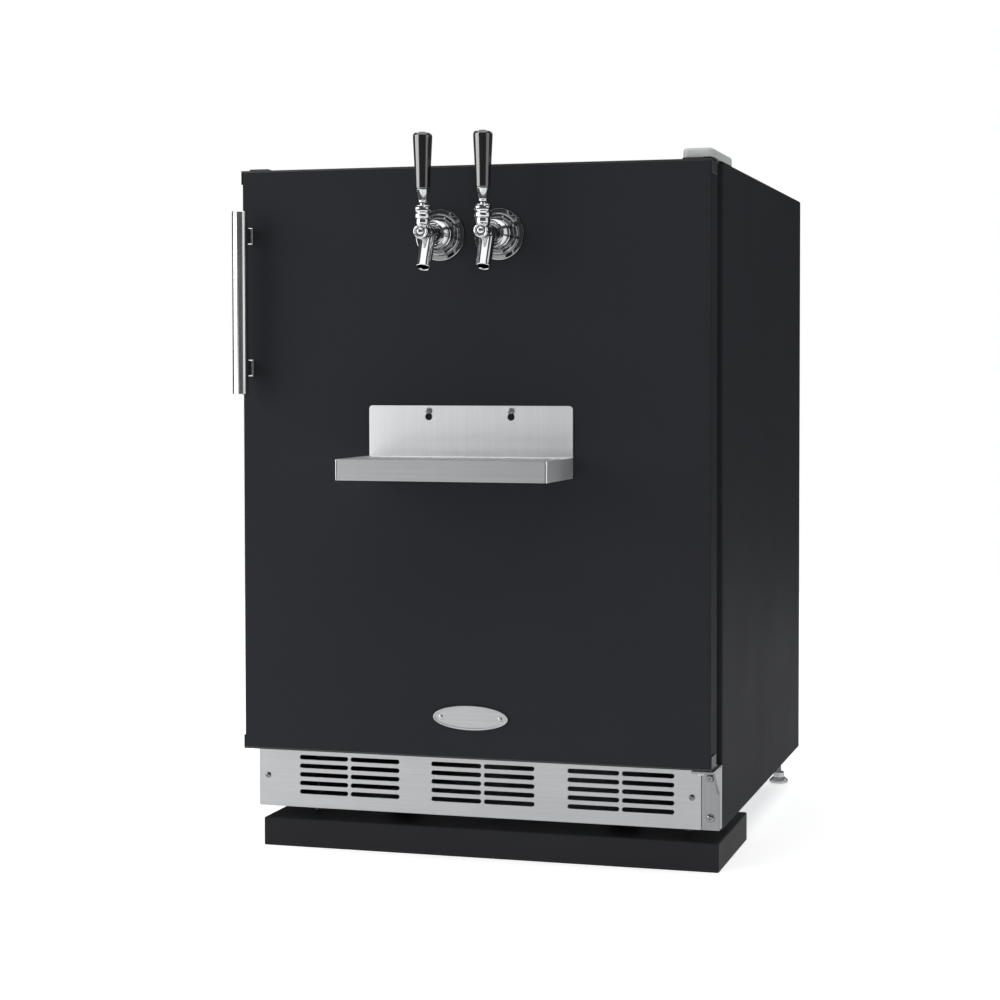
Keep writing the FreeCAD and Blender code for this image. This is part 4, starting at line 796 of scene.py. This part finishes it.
# ---------------------------------------------------------------- kickplate, hinge bracket, plinth, feet
def kickplate():
    """Grained face with three banks of louvre slots and folded returns."""
    low, high = KICK
    sheet, banks, rows = 1.5 * MM, (-1, 0, 1), 5
    bank_pitch, column, row_pitch, top_row = 177 * MM, 34.5 * MM, 11 * MM, 14 * MM
    slot_half, slot_tall, slot_round = 32.6 * MM, 2.65 * MM, 2.6 * MM
    slots = [rounded(bank * bank_pitch + side * column, high.z - top_row - row * row_pitch,
                     slot_half, slot_tall, slot_round, 6)
             for bank in banks for side in (-1, 1) for row in range(rows)]
    middle, half = (low.x + high.x) / 2, (high.x - low.x) / 2
    bm = bmesh.new()
    plate(bm, facing_front(low.y), rounded(middle, (low.z + high.z) / 2, half, (high.z - low.z) / 2, 1 * MM),
          slots, sheet, 0.5 * MM)
    piece("kickplate_face", bm, "stainless", "cabinet", ["kickplate"])
    bm = bmesh.new()
    inner_y = low.y + sheet * 0.4
    notch, tuck = high.x - 6.4 * MM, 0.2 * MM
    block(bm, (low.x + tuck, inner_y, low.z), (high.x - tuck, high.y, low.z + sheet), 0.5 * MM)
    block(bm, (low.x + tuck, inner_y, high.z - sheet), (notch, high.y, high.z), 0.5 * MM)
    block(bm, (low.x, inner_y, low.z + tuck), (low.x + sheet, high.y, high.z - tuck), 0.5 * MM)
    piece("kickplate_returns", bm, "stainless_painted_light", "cabinet")


def hinge_bracket():
    """Angle under the door: face, leaf with a round front, gusset and side return."""
    low, high = BOX["lower_hinge_bracket"]
    sheet, face = 3 * MM, 22 * MM
    kick = KICK[0].y
    bm = bmesh.new()
    block(bm, (high.x - face, kick, low.z), (high.x, kick + sheet, high.z), 0.8 * MM)
    block(bm, (high.x - sheet, kick + 0.5 * MM, low.z + 0.2 * MM), (high.x, high.y, high.z - 0.2 * MM),
          0.8 * MM)
    leaf_y = (low.y + high.y) / 2
    plate(bm, facing_up(high.z), rounded((low.x + high.x) / 2, leaf_y, (high.x - low.x) / 2,
                                         (high.y - low.y) / 2, 5 * MM), [], sheet, 0.6 * MM)
    gusset_depth, gusset_drop = kick - low.y - 8 * MM, 31 * MM
    corners = [(kick + 1 * MM, high.z - sheet), (kick + 1 * MM, high.z - sheet - gusset_drop),
               (kick - gusset_depth, high.z - sheet)]
    rows = [[bm.verts.new((x, v, w)) for v, w in corners] for x in (high.x - sheet, high.x)]
    strip(bm, rows[0], rows[1])
    for row in rows:
        bm.faces.new(row)
    piece("hinge_bracket_low", bm, "bracket_steel_painted_shade", "cabinet", ["lower_hinge_bracket"])


def plinth():
    """Black folded plinth, open underneath, its top edge rolled over."""
    low, high = TOE
    top, sheet, bend = 36 * MM, 2 * MM, 2.4 * MM
    outline = rounded(0, (low.y + high.y) / 2, high.x, (high.y - low.y) / 2, 2 * MM)
    edge, corner = 0.4 * MM, 1 * MM
    steps = [(-sheet - corner, sheet), (-sheet, sheet + corner), (-sheet, top - edge),
             (-sheet + edge, top), (-edge, top), (0, top - edge)]
    steps += [(-inset, depth) for inset, depth in reversed(quarter(bend, 5))]
    bm = bmesh.new()
    sweep(bm, facing_up(top), outline, steps)
    lug_x, lug_half, lug_front, lug_back = 150 * MM, 20 * MM, 120 * MM, 122 * MM
    for side in (-1, 1):
        block(bm, (side * lug_x - lug_half, low.y + lug_front, top - sheet),
              (side * lug_x + lug_half, low.y + lug_back, high.z), 0.3 * MM)
    piece("plinth", bm, "black_steel", "cabinet", ["toe_kick"])


def levelling_foot(where):
    """Glide with a turned edge, hexagon and threaded stud."""
    node = "levelling_foot_" + where
    low, high = BOX[node]
    centre = ((low.x + high.x) / 2, (low.y + high.y) / 2, low.z)
    bm = bmesh.new()
    profile = [(0, 0), (12.4, 0), (13.4, 0.4), (14, 1.2), (14, 3.6), (13.6, 4.4), (12.2, 5.4),
               (10.6, 6.8), (9.4, 8.2), (0, 8.4)]
    lathe(bm, profile, centre, UP, 72, 0.3)
    lathe(bm, [(0, 8), (8.6, 8), (9.2, 8.6), (9.2, 15.4), (8.6, 16), (0, 16)], centre, UP, 6, 0)
    thread, bottom, turns, pitch, rise, root, crest = [], 17, 48, 1.25, 0.62, 3.45, 4.0
    for turn in range(turns):
        height = bottom + turn * pitch
        thread += [(root, height), (crest, height + rise)]
    lathe(bm, [(0, 15), (crest, 15), (crest, 16.4)] + thread + [(3.0, 78.4), (0, 79)],
          centre, UP, 32, 0)
    piece("foot_" + where, bm, "fastener_steel", "foot_" + where, [node], angle=40)


# ---------------------------------------------------------------- frame nodes that keep their own shape
FINISH = {part["node"]: part["material_slot"] for part in frame["record"]["subparts"]}
SPECIAL = {"door_gasket": "gasket_grey"}


def dress_frame():
    """Every frame node gets its procedural material."""
    for name, node in frame["nodes"].items():
        node.data.materials.clear()
        node.data.materials.append(MATERIALS[SPECIAL.get(name, FINISH[name])])


# ---------------------------------------------------------------- studio
def softbox(name, place, target, width, height, power):
    """Large rectangular light that faces a point."""
    data = bpy.data.lights.new(name, "AREA")
    data.shape = "RECTANGLE"
    data.size, data.size_y, data.energy = width, height, power
    light = bpy.data.objects.new(name, data)
    light.location = place
    light.rotation_euler = (Vector(target) - Vector(place)).to_track_quat("-Z", "Y").to_euler()
    bpy.context.scene.collection.objects.link(light)


def floor():
    """Pale round floor, as bright at its rim as the surround."""
    reach, sides = 3.0, 96
    bm = bmesh.new()
    bm.faces.new([bm.verts.new((x, y, 0)) for x, y in circle(0, 0, reach, sides)(0)])
    mesh = bpy.data.meshes.new("studio_floor")
    bm.to_mesh(mesh)
    bm.free()
    obj = bpy.data.objects.new("studio_floor", mesh)
    bpy.context.scene.collection.objects.link(obj)
    t = Tree("studio_floor", Metallic=0.0, Specular_IOR_Level=0.1, Emission_Color=(1, 1, 1, 1),
             Emission_Strength=0.52)
    tone = t.colours(t.noise(2.0, detail=2.0), [(0.3, grey(0.92)), (0.7, grey(0.93))])
    mesh.materials.append(t.wire(Base_Color=tone, Roughness=t.ranged(t.noise(3.0), 0.85, 0.9)))


def studio():
    """Even white surround that the camera sees, a dimmer one that lights and mirrors, softboxes."""
    world = bpy.data.worlds.new("studio")
    bpy.context.scene.world = world
    world.use_nodes = True
    tree = world.node_tree
    seen, shine = tree.nodes["Background"], tree.nodes.new("ShaderNodeBackground")
    seen.inputs["Color"].default_value = (1, 1, 1, 1)
    shine.inputs["Color"].default_value = (0.97, 0.98, 1.0, 1)
    shine.inputs["Strength"].default_value = 0.10
    rays = tree.nodes.new("ShaderNodeLightPath").outputs["Is Camera Ray"]
    mix = tree.nodes.new("ShaderNodeMixShader")
    tree.links.new(rays, mix.inputs["Fac"])
    tree.links.new(shine.outputs["Background"], mix.inputs[1])
    tree.links.new(seen.outputs["Background"], mix.inputs[2])
    tree.links.new(mix.outputs["Shader"], tree.nodes["World Output"].inputs["Surface"])
    softbox("left_box", (-2.5, -1.9, 1.3), (0, -0.2, 0.7), 2.8, 2.0, 62)
    softbox("front_box", (-1.2, -3.7, 0.35), (0, -0.3, 0.45), 1.6, 0.6, 3.2)
    softbox("right_box", (3.0, -0.9, 1.4), (0.2, -0.1, 0.6), 2.2, 2.0, 14)
    softbox("top_box", (0, -0.5, 3.2), (0, 0, 0), 4.4, 4.0, 88)
    softbox("back_box", (0, 3.0, 2.8), (0, 0, 0.3), 4.4, 1.6, 40)


def camera():
    """Long lens, standing a little to the right and above the middle, looking left along the front."""
    data = bpy.data.cameras.new("photo_view")
    data.lens, data.sensor_width = 73.1, 36.0
    data.shift_x, data.shift_y = -0.10, -0.06
    view = bpy.data.objects.new("photo_view", data)
    yaw, pitch = 0.2578, 0.0313
    view.location = (0.7813, -2.6096, 0.6015)
    view.rotation_euler = (math.pi / 2 - pitch, 0, yaw)
    bpy.context.scene.collection.objects.link(view)
    bpy.context.scene.camera = view


dress_frame()
cabinet_shell()
door_panel()
end_caps()
pull_handle()
badge()
taps()
drip_tray()
drip_grid()
kickplate()
hinge_bracket()
plinth()
screws("front_screw_heads", "front_screws", "cabinet", widen=1.15, tall=2.6 * MM)
screws("tray_screw_heads", "tray_screws", "door", widen=1.0, tall=2.4 * MM)
for place in ("front_left", "front_right", "rear_left", "rear_right"):
    levelling_foot(place)
floor()
studio()
camera()
bpy.context.scene.view_settings.view_transform = "Standard"
